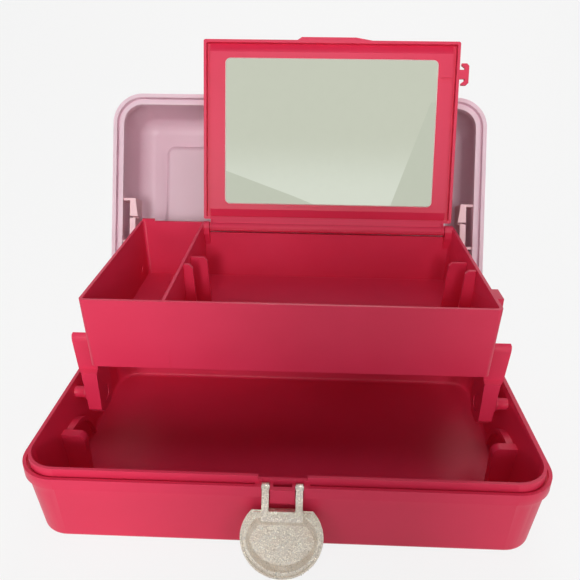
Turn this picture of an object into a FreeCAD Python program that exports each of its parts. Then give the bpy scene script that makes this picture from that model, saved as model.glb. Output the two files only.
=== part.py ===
"""Makeup storage case with a carry handle, standing open.

Frame: millimetres, X to the right, Y to the back, Z up, origin at the centre
of the base's bottom face.  The lid leans back, the tray hangs level on the
lid's brackets and on two front arms, and the mirror lid stands up at the back
of the tray.
"""
import math
import os

import FreeCAD
import Part
from FreeCAD import Vector

# ---- driving dimensions: base tub --------------------------------------------
RIM_LENGTH = 304.0        # outline of the rim, left to right
RIM_DEPTH = 184.0         # outline of the rim, front to back
BASE_HEIGHT = 49.0        # floor to rim ledge
RIM_CORNER = 24.0
BASE_INSET = 6.0          # the bottom is smaller than the rim by this, per side
BASE_FOOT_ROUND = 4.0
BASE_INNER_ROUND = 2.4
LEAST_CORNER = 2.0
BASE_WALL = 3.0
BASE_FLOOR = 3.4
BAND_HEIGHT = 7.0         # proud band under the rim
BAND_PROUD = 1.6
LEDGE_WIDTH = 2.0         # outer ledge of the rim
RIM_GROOVE = 1.5          # groove between the ledge and the lip
RIM_GROOVE_DEPTH = 2.0
LIP_THICK = 1.8
LIP_HEIGHT = 4.5
LIP_REAR_HEIGHT = 1.5     # lower at the rear, where the lid's rim swings down past it
LIP_REAR_REACH = 15.0
SOLE_MARGIN = 14.0        # border around the panel line under the floor
SOLE_LINE = 1.4
SOLE_DEPTH = 0.8

# ---- lid ---------------------------------------------------------------------
LID_HEIGHT = 60.0
LID_GAP = 0.3             # between the closed rims
LID_BAND_HEIGHT = 7.0
LID_BAND_PROUD = 3.0
LID_DRAFT = 4.0           # inset gained from the band to the top
LID_WALL = 2.0
LID_RIM_WIDTH = 8.8       # outer edge, groove and inner band together
LID_RIM_OUTER = 3.0
LID_GROOVE = 2.6
LID_GROOVE_DEPTH = 5.2
LID_TOP_THICK = 2.0
LID_TOP_ROUND = 16.0
LID_INNER_ROUND = 13.0
LID_OPEN_ANGLE = 113.7    # from shut to wide open
LID_NOTCH_WIDTH = 27.0    # front notch that the latch arms lie in
LID_NOTCH_DEPTH = 4.4
LID_NOTCH_HEIGHT = 20.0
RECESS_END = 36.5         # from the rim's outline to the handle recess, along X
RECESS_SIDE = 36.0        # and along Y
RECESS_DEPTH = 13.5
RECESS_CORNER = 5.0
RECESS_DRAFT = 3.2
RECESS_WALL = 2.0
RECESS_SOFT = 4.0         # rounding of its edge inside the lid

# ---- rear hinge --------------------------------------------------------------
HINGE_BACK = 2.2          # axis behind the rim
HINGE_KNUCKLE_R = 3.6
HINGE_PIN_R = 1.5
HINGE_IN = 48.0           # from the rim's outline to the middle of each hinge
HINGE_KNUCKLE = 14.0      # length of one knuckle
HINGE_END_GAP = 0.4
KNUCKLE_FOOT = 6.8         # a knuckle's web runs this far down the wall
KNUCKLE_BACK = 2.9        # and its corner lies this far behind the axis
KNUCKLE_UP = 2.2
HEEL_THICK = 5.0          # rib under each outer knuckle; its foot steadies the open case
HEEL_BACK = 1.6           # behind the hinge axis
RUN_CLEARANCE = 0.05      # radial, in every running fit
PIN_INSET = 0.5           # between a pin's end and the face it stops behind

# ---- tray linkage ------------------------------------------------------------
LINK_FORWARD = 3.8        # each link's upper pivot is this far behind its lower one
LINK_RISE = 45.0          # and this far above it, with the case open
LID_SWING = 93.0          # how far the linkage folds
ARM_PIVOT_AHEAD = 94.5    # lower pivot of the front arms, ahead of the rear rim
ARM_PIVOT_DROP = 4.0      # below the rim
ARM_HALF_WIDTH = 11.5
ARM_FOOT_THICK = 8.6      # along X, at the foot, under the bend, over it and at the top
ARM_LOW_THICK = 10.3
ARM_HIGH_THICK = 12.8
ARM_TOP_THICK = 14.6
ARM_BEND_UP = 22.2        # the bend, above the lower pivot
ARM_BEND_RISE = 1.6
ARM_BEND_BACK = 3.5       # the upper part is set back by this
ARM_TAIL = 6.1            # the front face ends this far below the lower pivot
ARM_TAIL_CHAMFER = 5.4
ARM_TOP_OVER = 6.5        # above the upper pivot
ARM_TOP_ROUND = 7.5
ARM_CORNER = 3.2
ARM_WEB = 3.0             # the arm is a channel that opens outwards, with this web
ARM_FLANGE = 2.6
ARM_HUB_R = 5.6
ARM_HUB_OUT = 12.4        # the hub's outer end, from the arm's inner face
ARM_EYE_R = 6.4           # round the upper pivot
ARM_EYE_OUT = 5.4
ARM_OPEN_DROP = 8.0       # above this, under the upper pivot, only the front and the web stay
STUD_R = 3.0
STUD_HEAD_R = 5.0
STUD_HEAD = 1.2
STUD_SINK = 0.3           # a sunk head lies this far below the face
STUD_HEAD_GAP = 0.4
BOSS_R = 4.6
BOSS_FOOT_R = 3.9
ARM_GAP = 0.5             # side gap between an arm and what carries it

# ---- arm rest and guide on the base's side walls -----------------------------
REST_AHEAD = 34.5         # its front face, ahead of the arm's pivot
REST_THICK = 6.0
REST_GAP = 0.3            # under the folded arm
REST_IN = 4.6             # its inner end, from the arm's inner face
REST_ROUND = 5.0
GUIDE_AHEAD = 22.5        # middle of the curved rib behind the arm rest
GUIDE_R = 33.0
GUIDE_WIDTH = 2.6
GUIDE_REACH = 6.0         # out of the wall, at the rim's inner face

# ---- tray --------------------------------------------------------------------
TRAY_SIDE_ROOM = 26.4     # between the rim's outline and the tray, each side
TRAY_OVER = 28.3          # the tray's rear, behind the rear rim
TRAY_DEPTH = 146.4
TRAY_RISE = 78.2          # the tray's rim above the base's
TRAY_HEIGHT = 47.1
TRAY_DRAFT = 1.5
TRAY_WALL = 2.0
TRAY_FLOOR = 2.2
TRAY_CORNER = 3.0
LEFT_BAY = 51.0           # left wall to divider
DIVIDER_THICK = 1.8
FIN_THICK = 2.4
FRONT_FIN_AT = 87.3       # ahead of the tray's rear
FRONT_FIN_REACH = 7.0
FRONT_FIN_DROP = 0.6
REAR_FIN_AT = 62.3
REAR_FIN_REACH = 12.6
REAR_FIN_DROP = 5.4
FIN_ROUND = 2.4
FIN_SLOPE = 2.2           # a fin's free edge leans out by this over its height
CORNER_TAB = 10.0
CORNER_TAB_HEIGHT = 1.8
TRAY_BOSS_R = 6.5
KEEPER_AT = 119.2         # its middle, ahead of the mirror lid's axis
KEEPER_LENGTH = 14.0
KEEPER_REACH = 4.6
KEEPER_HEIGHT = 8.0

# ---- mirror lid --------------------------------------------------------------
MIRROR_LEFT_IN = -0.2     # its left edge, from the divider's middle
MIRROR_RIGHT_IN = 1.6     # its right edge, inside the tray's side
MIRROR_AXIS_IN = 3.1      # axis ahead of the tray's rear
MIRROR_AXIS_DROP = 3.2    # axis below the tray's rim
MIRROR_REACH = 145.2      # axis to front edge
MIRROR_HEEL = 6.2         # axis to the full width's rear edge
MIRROR_TAIL = 3.2         # what lies behind the axis, between the lugs
MIRROR_REST = 0.3         # gap over the tray's rim when folded
MIRROR_THICK = 7.0
MIRROR_PLATE = 1.6
MIRROR_FLANGE = 2.2
MIRROR_CORNER = 1.6
MIRROR_INNER_CORNER = 0.8
MIRROR_EDGE_ROUND = 1.0
PAD_RISE = 3.0            # the glass's seat stands out of the plate
PAD_GAP = 2.6             # groove between the seat and the flange
PAD_TOP_SLOPE = 6.5
PAD_LOW = 14.5            # the seat's lower edge and its slope, from the axis
PAD_ROOT = 8.0
PAD_WALL = 1.5
RIM_LINE = 1.6            # narrow rim around the barrel, and the groove inside it
RIM_LINE_GROOVE = 0.6
RIM_LINE_DEPTH = 0.7
MIRROR_OPEN_ANGLE = 106.9
BARREL_R = 3.3
BARREL_WEB_IN = 3.0       # the web leaves the barrel here, before its axis
BARREL_WEB_OUT = 2.3      # and here behind and above it
MIRROR_PIN_R = 1.3
MIRROR_PIN_REACH = 7.0    # into the barrel
MIRROR_PIN_BURIED = 0.6   # below the lug's outer face
PIN_END_GAP = 0.2
LUG_THICK = 4.6
LUG_LEFT_IN = 0.6         # from the divider's middle
LUG_RIGHT_IN = 2.9        # from the tray's side
LUG_GAP = 0.4
LUG_R = 4.4
LUG_FOOT_DROP = 13.2      # a lug's foot runs this far down the rear wall
REAR_WALL_CUT = 8.2       # the tray's rear wall is lower by this at the mirror lid
LIFT_LIP_LEFT = -1.5
LIFT_LIP_RIGHT = 56.5
LIFT_LIP_SLOPES = (3.1, 13.0)
LIFT_LIP_REACH = 2.2
LIFT_LIP_THICK = 3.0
CATCH_AT = 121.2          # middle of the hooked catch, from the axis
CATCH_STEM = 4.0
CATCH_STEM_HALF = 3.4
CATCH_OUT = 7.3
CATCH_HALF = 8.2
CATCH_HOOK = 1.6          # its two ends turn in to this distance from the lid
CATCH_HOOK_THICK = 1.6
CATCH_BEVEL = 1.8
CATCH_THICK = 3.0
CATCH_SLOT_AT = 117.4     # slot that lets the catch spring, in the glass's seat
CATCH_SLOT_NEAR = 4.4
CATCH_SLOT_FAR = 13.4
CATCH_SLOT_WIDTH = 3.0
CATCH_SLOT_DEPTH = 1.2
CATCH_UP = 0.4            # above the folded mirror lid's lower face
GLASS_LEFT_IN = 17.0      # from the mirror lid's edges
GLASS_RIGHT_IN = 16.2
GLASS_NEAR = 18.8         # axis to the glass's rear edge
GLASS_FAR = 131.6
GLASS_CORNER = 4.0
GLASS_THICK = 1.8
TAPE_THICK = 0.5
TAPE_MARGIN = 5.0

# ---- lid brackets ------------------------------------------------------------
BRACKET_OUT = 7.6         # its inner face, outside the tray's side
BRACKET_THICK = 4.7
BRACKET_TOP = 101.0       # along the lid, from the hinge
BRACKET_LOW = 66.5        # lower flange
BRACKET_HEEL = 33.0
BRACKET_EDGE = -2.0       # front edge, behind the lid's rim plane
BRACKET_BACK = -22.0
BRACKET_FLANGE = 2.0
BRACKET_SLIT = 84.8
BRACKET_SLIT_WIDTH = 1.4
BRACKET_SLIT_DEPTH = 9.0
TONGUE_REACH = 1.9        # wedge above the slit
TONGUE_LENGTH = 13.0
BRACKET_EAR_R = 6.5

# ---- latch -------------------------------------------------------------------
LATCH_AXIS_IN = 1.8       # axis behind the rim's front face
LATCH_AXIS_DROP = 1.6
LATCH_PIN_R = 1.2
LATCH_ARM_X = 9.3         # middle of each arm
LATCH_ARM_WIDTH = 3.9
LATCH_ARM_THICK = 4.0
LATCH_ARM_END_R = 2.4
LATCH_SLOT_GAP = 0.35
LATCH_SLOT_DEPTH = 4.5
LATCH_BAR_NEAR = 12.5
LATCH_BAR_FAR = 18.0
LATCH_BAR_HALF = 11.4
LATCH_BAR_PROUD = 2.2     # in front of the shell's rim plane
LATCH_SHELL_NEAR = 13.0
LATCH_SHELL_FAR = 50.4
LATCH_SHELL_HALF = 23.1
LATCH_SHELL_TOP_HALF = 17.0
LATCH_WIDEST = 0.42       # share of its length at which it is widest
LATCH_BOW_IN = 0.22       # the corner's middle point, as shares of its width and length
LATCH_BOW_AT = 0.48
LATCH_RIM_N = 2.4         # the shell's rim, in front of the arm's middle plane
LATCH_DEPTH = 8.6
LATCH_WALL = 2.0
LATCH_STEP = 0.9          # a step inside the rim, this wide and deep
LATCH_STEP_DEPTH = 1.6
LATCH_DRAFT = 3.0
LATCH_NEAR_DRAFT = 8.2    # the shell's end by the hinge slopes more, to clear the base
LATCH_HANG_ANGLE = 28.0   # from straight down, its end just clear of the table
MOUNT_LUG_HALF = 6.8
MOUNT_PLATE = 2.2         # the lug's front plate stands this far out
MOUNT_PLATE_THICK = 2.9
MOUNT_PLATE_ROUND = 1.75
MOUNT_LUG_HEIGHT = 10.5
MOUNT_POCKET_HALF = 5.2
MOUNT_POCKET_DEPTH = 7.0
MOUNT_HALF = 15.2
MOUNT_NOTCH_HALF = 13.6
MOUNT_BAR_IN = 5.9        # its inner face, behind the rim's front
MOUNT_BAR_RISE = 2.0

# ---- carry handle ------------------------------------------------------------
HANDLE_HALF = 60.0        # middle of each leg
HANDLE_REACH = 43.0       # pivot to grip
HANDLE_GRIP_R = 5.6
HANDLE_LEG_THICK = 7.0
HANDLE_LEG_WIDTH = 9.0
HANDLE_EYE_R = 5.6
HANDLE_AXIS_DROP = 6.8    # below the lid's top
HANDLE_PIN_R = 2.0
HANDLE_LUG_THICK = 5.0
HANDLE_LUG_HALF = 6.0
HANDLE_BEND_R = 14.0
HANDLE_SIDE_GAP = 0.5

# ---- places that follow from them --------------------------------------------
FRONT_Y = -RIM_DEPTH / 2
REAR_Y = RIM_DEPTH / 2
RIM_IN = LEDGE_WIDTH + RIM_GROOVE + LIP_THICK
LID_Z = BASE_HEIGHT + LID_GAP
LID_TOP_Z = LID_Z + LID_HEIGHT
HINGE = Vector(0, REAR_Y + HINGE_BACK, BASE_HEIGHT + LID_GAP / 2)
ARM_PIVOT = Vector(0, REAR_Y - ARM_PIVOT_AHEAD, BASE_HEIGHT - ARM_PIVOT_DROP)
LINK = Vector(0, LINK_FORWARD, LINK_RISE)
ARM_TOP_PIVOT = ARM_PIVOT + LINK
TRAY_PIVOT = HINGE + LINK
HINGE_X = RIM_LENGTH / 2 - HINGE_IN
RECESS_LENGTH = RIM_LENGTH - 2 * RECESS_END
RECESS_WIDTH = RIM_DEPTH - 2 * RECESS_SIDE
TRAY_HALF = RIM_LENGTH / 2 - TRAY_SIDE_ROOM
TRAY_REAR_Y = REAR_Y + TRAY_OVER
TRAY_FRONT_Y = TRAY_REAR_Y - TRAY_DEPTH
TRAY_RIM_Z = BASE_HEIGHT + TRAY_RISE
DIVIDER_X = LEFT_BAY - TRAY_HALF
FRONT_FIN_Y = TRAY_REAR_Y - FRONT_FIN_AT
REAR_FIN_Y = TRAY_REAR_Y - REAR_FIN_AT
ARM_INNER_X = TRAY_HALF
REST_Y = ARM_PIVOT.y - REST_AHEAD
REST_INNER_X = ARM_INNER_X + REST_IN
BRACKET_INNER_X = TRAY_HALF + BRACKET_OUT
MIRROR_LEFT_X = DIVIDER_X + MIRROR_LEFT_IN
MIRROR_RIGHT_X = TRAY_HALF - MIRROR_RIGHT_IN
GLASS_LEFT_X = MIRROR_LEFT_X + GLASS_LEFT_IN
GLASS_RIGHT_X = MIRROR_RIGHT_X - GLASS_RIGHT_IN
MIRROR_AXIS = Vector(0, TRAY_REAR_Y - MIRROR_AXIS_IN, TRAY_RIM_Z - MIRROR_AXIS_DROP)
MIRROR_Z = TRAY_RIM_Z + MIRROR_REST
MIRROR_ROOF_Z = MIRROR_Z + MIRROR_THICK - MIRROR_PLATE
KEEPER_Y = MIRROR_AXIS.y - KEEPER_AT
LATCH_AXIS = Vector(0, FRONT_Y + LATCH_AXIS_IN, BASE_HEIGHT - LATCH_AXIS_DROP)
HANDLE_AXIS = Vector(0, 0, LID_TOP_Z - HANDLE_AXIS_DROP)
RECESS_FLOOR_Z = LID_TOP_Z - RECESS_DEPTH
LEFT, RIGHT = -1, 1
SIDES = (("left", LEFT), ("right", RIGHT))
X_AXIS = Vector(1, 0, 0)
PAST = 1.0                # how far a cutting tool runs past a face
SAME = 1e-4               # two places nearer than this are one


# ---- helpers -----------------------------------------------------------------
def box(x0, x1, y0, y1, z0, z1):
    """A box between two corners, given in any order."""
    low = Vector(min(x0, x1), min(y0, y1), min(z0, z1))
    return Part.makeBox(abs(x1 - x0), abs(y1 - y0), abs(z1 - z0), low)


def rod(x0, x1, centre, radius):
    """A round rod along X at the centre's Y and Z."""
    start = Vector(min(x0, x1), centre.y, centre.z)
    return Part.makeCylinder(radius, abs(x1 - x0), start, X_AXIS)


def outline(length, depth, radius, z, x=0.0, y=0.0):
    """A rounded rectangle as a closed wire at height z."""
    a, b, r = length / 2, depth / 2, radius
    diagonal = r * math.sqrt(0.5)
    corners = ((a - r, b - r, 1, 1), (-a + r, b - r, -1, 1),
               (-a + r, -b + r, -1, -1), (a - r, -b + r, 1, -1))
    edges = []
    last = None
    first = None
    for index, (cx, cy, sx, sy) in enumerate(corners):
        on_x = Vector(x + cx + sx * r, y + cy, z)
        on_y = Vector(x + cx, y + cy + sy * r, z)
        middle = Vector(x + cx + sx * diagonal, y + cy + sy * diagonal, z)
        start, end = (on_x, on_y) if index % 2 == 0 else (on_y, on_x)
        if last is not None:
            edges.append(Part.makeLine(last, start))
        else:
            first = start
        edges.append(Part.Arc(start, middle, end).toShape())
        last = end
    edges.append(Part.makeLine(last, first))
    return Part.Wire(edges)


def block(length, depth, radius, z0, z1, x=0.0, y=0.0, grow=0.0):
    """A rounded block; grow widens its upper end by that much per side."""
    low = outline(length, depth, radius, z0, x, y)
    high = outline(length + 2 * grow, depth + 2 * grow, radius, z1, x, y)
    return Part.makeLoft([low, high], True, True)


def rim_block(inset, z0, z1, upper_inset=None):
    """A block that follows the case's rim outline, set in by an inset."""
    top = inset if upper_inset is None else upper_inset
    wires = []
    for set_in, z in ((inset, z0), (top, z1)):
        radius = max(RIM_CORNER - set_in, LEAST_CORNER)
        wires.append(outline(RIM_LENGTH - 2 * set_in, RIM_DEPTH - 2 * set_in, radius, z))
    return Part.makeLoft(wires, True, True)


def plate(points, x0, x1):
    """A flat plate between x0 and x1 with an outline of (y, z) points."""
    low = min(x0, x1)
    corners = [Vector(low, y, z) for y, z in points]
    face = Part.Face(Part.makePolygon(corners + corners[:1]))
    return face.extrude(Vector(abs(x1 - x0), 0, 0))


def slab(points, z0, z1):
    """A flat slab between z0 and z1 with an outline of (x, y) points."""
    corners = [Vector(x, y, z0) for x, y in points]
    face = Part.Face(Part.makePolygon(corners + corners[:1]))
    return face.extrude(Vector(0, 0, z1 - z0))


def flat_edges(shape, z):
    """The edges that lie at height z."""
    found = []
    for edge in shape.Edges:
        bounds = edge.BoundBox
        if abs(bounds.ZMin - z) < SAME and abs(bounds.ZMax - z) < SAME:
            found.append(edge)
    return found


def join(shapes):
    """One solid from several that touch or overlap."""
    return shapes[0].fuse(shapes[1:]).removeSplitter()


def turned(shape, centre, angle):
    """A copy, turned about the X direction through a centre."""
    copy = shape.copy()
    copy.rotate(centre, X_AXIS, angle)
    return copy


def opened(shape):
    """Moves a piece from the shut lid's place to the open lid's place."""
    return turned(shape, HINGE, -LID_OPEN_ANGLE)


def save(name, shape):
    solids = shape.Solids
    made = solids[0] if len(solids) == 1 else Part.makeCompound(solids)
    made.exportStep("parts/%s.step" % name)
    print("%-22s solids %d  volume %10.1f  valid %s"
          % (name, len(solids), made.Volume, made.isValid()))


# ---- rear hinge --------------------------------------------------------------
def knuckle_spans(middle):
    """X spans of the three knuckles: base, lid, base."""
    step = HINGE_KNUCKLE + HINGE_END_GAP
    spans = []
    for place in (-1, 0, 1):
        centre = middle + place * step
        spans.append((centre - HINGE_KNUCKLE / 2, centre + HINGE_KNUCKLE / 2))
    return spans


def knuckle(span, upper):
    """A knuckle with a web to the rim, above it on the lid or below it on the base."""
    barrel = rod(span[0], span[1], HINGE, HINGE_KNUCKLE_R)
    way = 1 if upper else -1
    start_z = LID_Z if upper else BASE_HEIGHT
    web = plate([(REAR_Y - LEDGE_WIDTH / 2, start_z), (HINGE.y, start_z),
                 (HINGE.y + KNUCKLE_BACK, HINGE.z + way * KNUCKLE_UP),
                 (REAR_Y - LEDGE_WIDTH / 2, start_z + way * KNUCKLE_FOOT)], span[0], span[1])
    return barrel.fuse(web)


def heel(span):
    """Rib from an outer knuckle down the rear wall to the floor."""
    middle = (span[0] + span[1]) / 2
    back = HINGE.y + HEEL_BACK
    wall = REAR_Y - BASE_INSET - BASE_WALL / 2
    points = [(wall, 0.0), (back, 0.0), (back, HINGE.z - HINGE_KNUCKLE_R / 2),
              (REAR_Y - BASE_WALL / 2, HINGE.z - HINGE_KNUCKLE_R / 2)]
    return plate(points, middle - HEEL_THICK / 2, middle + HEEL_THICK / 2)


def hinge_room(span, past):
    """Space that a knuckle of the other rim turns in."""
    return rod(span[0] - HINGE_END_GAP, span[1] + HINGE_END_GAP, HINGE, HINGE_KNUCKLE_R + past)


# ---- base tub ----------------------------------------------------------------
def latch_mount():
    """The front centre of the rim: a solid block with a lug between two arm slots."""
    top = BASE_HEIGHT + MOUNT_BAR_RISE
    bar_y = FRONT_Y + MOUNT_BAR_IN
    solid = box(-MOUNT_HALF, MOUNT_HALF, FRONT_Y, bar_y, BASE_HEIGHT - BAND_HEIGHT, BASE_HEIGHT)
    bar = box(-MOUNT_NOTCH_HALF - PAST, MOUNT_NOTCH_HALF + PAST, bar_y - LIP_THICK, bar_y,
              BASE_HEIGHT - PAST, top)
    lug_low = BASE_HEIGHT - MOUNT_LUG_HEIGHT
    lug = box(-MOUNT_LUG_HALF, MOUNT_LUG_HALF, FRONT_Y - MOUNT_PLATE, bar_y, lug_low, BASE_HEIGHT)
    low_edges = [e for e in flat_edges(lug, lug_low) if e.BoundBox.YMax < FRONT_Y]
    lug = lug.makeFillet(MOUNT_PLATE_ROUND, low_edges)
    return solid.fuse([bar, lug])


def latch_cuts():
    """Arm slots, the lug's pocket and the gap in the lip."""
    top = BASE_HEIGHT + LIP_HEIGHT + PAST
    low = BASE_HEIGHT - BAND_HEIGHT - 2 * PAST
    half = LATCH_ARM_WIDTH / 2 + LATCH_SLOT_GAP
    back = FRONT_Y + LATCH_SLOT_DEPTH
    cuts = []
    for _, side in SIDES:
        x = side * LATCH_ARM_X
        cuts.append(box(x - half, x + half, FRONT_Y - 2 * PAST, back, low, top))
    pocket_front = FRONT_Y - MOUNT_PLATE + MOUNT_PLATE_THICK
    pocket_back = FRONT_Y + MOUNT_BAR_IN - LIP_THICK
    cuts.append(box(-MOUNT_POCKET_HALF, MOUNT_POCKET_HALF, pocket_front, pocket_back,
                    BASE_HEIGHT - MOUNT_POCKET_DEPTH, BASE_HEIGHT + PAST))
    cuts.append(box(-MOUNT_NOTCH_HALF, MOUNT_NOTCH_HALF, FRONT_Y - PAST, FRONT_Y + MOUNT_BAR_IN + PAST,
                    BASE_HEIGHT + MOUNT_BAR_RISE, top))
    for _, side in SIDES:
        x0, x1 = latch_pin_span(side)
        cuts.append(rod(x0, x1, LATCH_AXIS, LATCH_PIN_R))
    return cuts


def rest_top():
    """Top of the arm rest: just under the folded arm's upper part."""
    turn = math.radians(LID_SWING)
    ahead = ARM_BEND_BACK - ARM_HALF_WIDTH
    reach = (REST_Y - ARM_PIVOT.y - ahead * math.cos(turn)) / -math.sin(turn)
    return ARM_PIVOT.z + ahead * math.sin(turn) + reach * math.cos(turn) - REST_GAP


def arm_carrier(side):
    """What one side wall holds: the arm's boss, the arm rest and a curved rib behind it."""
    rim_x = side * (RIM_LENGTH / 2 - RIM_IN)
    in_wall = rim_x + side * LIP_THICK / 2
    boss_start = side * (ARM_INNER_X + ARM_HUB_OUT + ARM_GAP)
    boss_step = boss_start + side * ARM_GAP * 3
    boss = rod(boss_start, boss_step, ARM_PIVOT, BOSS_R)
    boss_foot = rod(boss_step, in_wall, ARM_PIVOT, BOSS_FOOT_R)
    top = rest_top()
    rest = box(side * REST_INNER_X, rim_x, REST_Y, REST_Y + REST_THICK, BASE_FLOOR / 2, top)
    corner = [e for e in rest.Edges
              if abs(e.BoundBox.XMin - side * REST_INNER_X) < SAME
              and abs(e.BoundBox.XMax - side * REST_INNER_X) < SAME
              and abs(e.BoundBox.ZMin - top) < SAME]
    rest = rest.makeFillet(REST_ROUND, corner)
    guide_x = rim_x - side * GUIDE_REACH
    centre = Vector(0, ARM_PIVOT.y - GUIDE_AHEAD, 0)
    ring = rod(guide_x, rim_x, centre, GUIDE_R).cut(rod(guide_x, rim_x, centre,
                                                        GUIDE_R - GUIDE_WIDTH))
    quarter = box(guide_x, rim_x, REST_Y + REST_THICK / 2, centre.y + GUIDE_R,
                  BASE_FLOOR / 2, GUIDE_R)
    return [boss, boss_foot, rest, ring.common(quarter)]


def base_tub():
    wall_top = BASE_HEIGHT - BAND_HEIGHT
    body = rim_block(BASE_INSET, 0.0, wall_top, BAND_PROUD)
    body = body.makeFillet(BASE_FOOT_ROUND, flat_edges(body, 0.0))
    band = rim_block(0.0, wall_top, BASE_HEIGHT)
    lip = rim_block(LEDGE_WIDTH + RIM_GROOVE, BASE_HEIGHT - PAST, BASE_HEIGHT + LIP_HEIGHT)
    body = join([body, band, lip])
    groove = rim_block(LEDGE_WIDTH, BASE_HEIGHT - RIM_GROOVE_DEPTH, BASE_HEIGHT + PAST)
    groove = groove.cut(rim_block(LEDGE_WIDTH + RIM_GROOVE, BASE_HEIGHT - RIM_GROOVE_DEPTH - PAST,
                                  BASE_HEIGHT + 2 * PAST))
    body = body.cut(groove)
    lip_top = BASE_HEIGHT + LIP_HEIGHT
    hollow = rim_block(BASE_INSET + BASE_WALL, BASE_FLOOR, lip_top, RIM_IN)
    hollow = hollow.makeFillet(BASE_INNER_ROUND, flat_edges(hollow, BASE_FLOOR))
    hollow = hollow.fuse(rim_block(RIM_IN, lip_top - LIP_THICK / 2, lip_top + PAST))
    body = body.cut(hollow)
    body = body.cut(box(-RIM_LENGTH / 2, RIM_LENGTH / 2, REAR_Y - LIP_REAR_REACH, REAR_Y,
                        BASE_HEIGHT + LIP_REAR_HEIGHT, lip_top + PAST))
    sole_inset = BASE_INSET + SOLE_MARGIN
    panel = rim_block(sole_inset + SOLE_LINE, -2 * PAST, SOLE_DEPTH + PAST)
    body = body.cut(rim_block(sole_inset, -PAST, SOLE_DEPTH).cut(panel))
    body = body.fuse(latch_mount())
    spans = [knuckle_spans(side * HINGE_X) for _, side in SIDES]
    outer = [span for three in spans for span in (three[0], three[2])]
    middle = [three[1] for three in spans]
    body = body.fuse([knuckle(span, False) for span in outer] + [heel(span) for span in outer])
    for _, side in SIDES:
        body = body.fuse(arm_carrier(side))
    body = body.cut(latch_cuts() + [hinge_room(span, HINGE_END_GAP) for span in middle])
    bores = [rod(span[0] - PAST, span[1] + PAST, HINGE, HINGE_PIN_R) for span in outer]
    for _, side in SIDES:
        x0, x1 = arm_stud_span(side)
        bores.append(rod(x0, x1, ARM_PIVOT, STUD_R))
    return body.cut(bores).removeSplitter()


# ---- pins and studs ----------------------------------------------------------
def latch_pin_span(side):
    return side * (MOUNT_POCKET_HALF + PIN_INSET), side * (MOUNT_HALF - PIN_INSET)


def arm_stud_span(side):
    inner = ARM_INNER_X + STUD_SINK + STUD_HEAD
    return side * inner, side * (RIM_LENGTH / 2 - RIM_IN)


def hinge_pin(side):
    spans = knuckle_spans(side * HINGE_X)
    return rod(spans[0][0], spans[2][1], HINGE, HINGE_PIN_R)


def arm_stud(side):
    """Stud in the base's boss; the arm turns on it and its sunk head keeps the arm on."""
    x0, x1 = arm_stud_span(side)
    head = rod(x0, x0 - side * STUD_HEAD, ARM_PIVOT, STUD_HEAD_R)
    return rod(x0, x1, ARM_PIVOT, STUD_R).fuse(head)


def arm_top_stud(side):
    """Stud through the tray's wall, with its head inside the tray."""
    inner = tray_inner_x(ARM_TOP_PIVOT.z - STUD_HEAD_R)
    head = rod(side * (inner - STUD_HEAD), side * inner, ARM_TOP_PIVOT, STUD_HEAD_R)
    shank = rod(side * inner, side * (ARM_INNER_X + ARM_EYE_OUT), ARM_TOP_PIVOT, STUD_R)
    return shank.fuse(head)


def tray_stud(side):
    """Stud in the lid's bracket; the tray's rear hangs on it."""
    inner = tray_inner_x(TRAY_PIVOT.z)
    shank = rod(side * (inner + STUD_SINK), side * (BRACKET_INNER_X + BRACKET_THICK), TRAY_PIVOT, STUD_R)
    head = rod(side * (BRACKET_INNER_X + BRACKET_THICK),
               side * (BRACKET_INNER_X + BRACKET_THICK + STUD_HEAD), TRAY_PIVOT, STUD_HEAD_R)
    return shank.fuse(head)


def mirror_pin(side):
    x0, x1 = mirror_pin_span(side)
    return rod(x0, x1, MIRROR_AXIS, MIRROR_PIN_R)


# ---- lid ---------------------------------------------------------------------
def lid_inset(z):
    """How far the lid's outside is set in from the rim outline at a height."""
    above = (z - LID_Z - LID_BAND_HEIGHT) / (LID_HEIGHT - LID_BAND_HEIGHT)
    return LID_BAND_PROUD + LID_DRAFT * above


def handle_lugs():
    lugs = []
    for _, side in SIDES:
        for place in (-1, 1):
            gap = HANDLE_LEG_WIDTH / 2 + HANDLE_SIDE_GAP
            x0 = side * HANDLE_HALF + place * gap
            x1 = x0 + place * HANDLE_LUG_THICK
            y = HANDLE_LUG_HALF
            low = RECESS_FLOOR_Z - RECESS_WALL / 2
            post = box(x0, x1, -y, y, low, HANDLE_AXIS.z)
            lugs.append(post.fuse(rod(x0, x1, HANDLE_AXIS, y)))
    return lugs


def lid_hollow():
    """The lid's inside, wider behind the rim's inner band."""
    roof = LID_TOP_Z - LID_TOP_THICK
    band_top = LID_Z + LID_BAND_HEIGHT
    hollow = rim_block(lid_inset(band_top) + LID_WALL, band_top, roof, lid_inset(roof) + LID_WALL)
    hollow = hollow.makeFillet(LID_INNER_ROUND, flat_edges(hollow, roof))
    return hollow.fuse(rim_block(LID_RIM_WIDTH, LID_Z - PAST, band_top + PAST))


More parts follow.
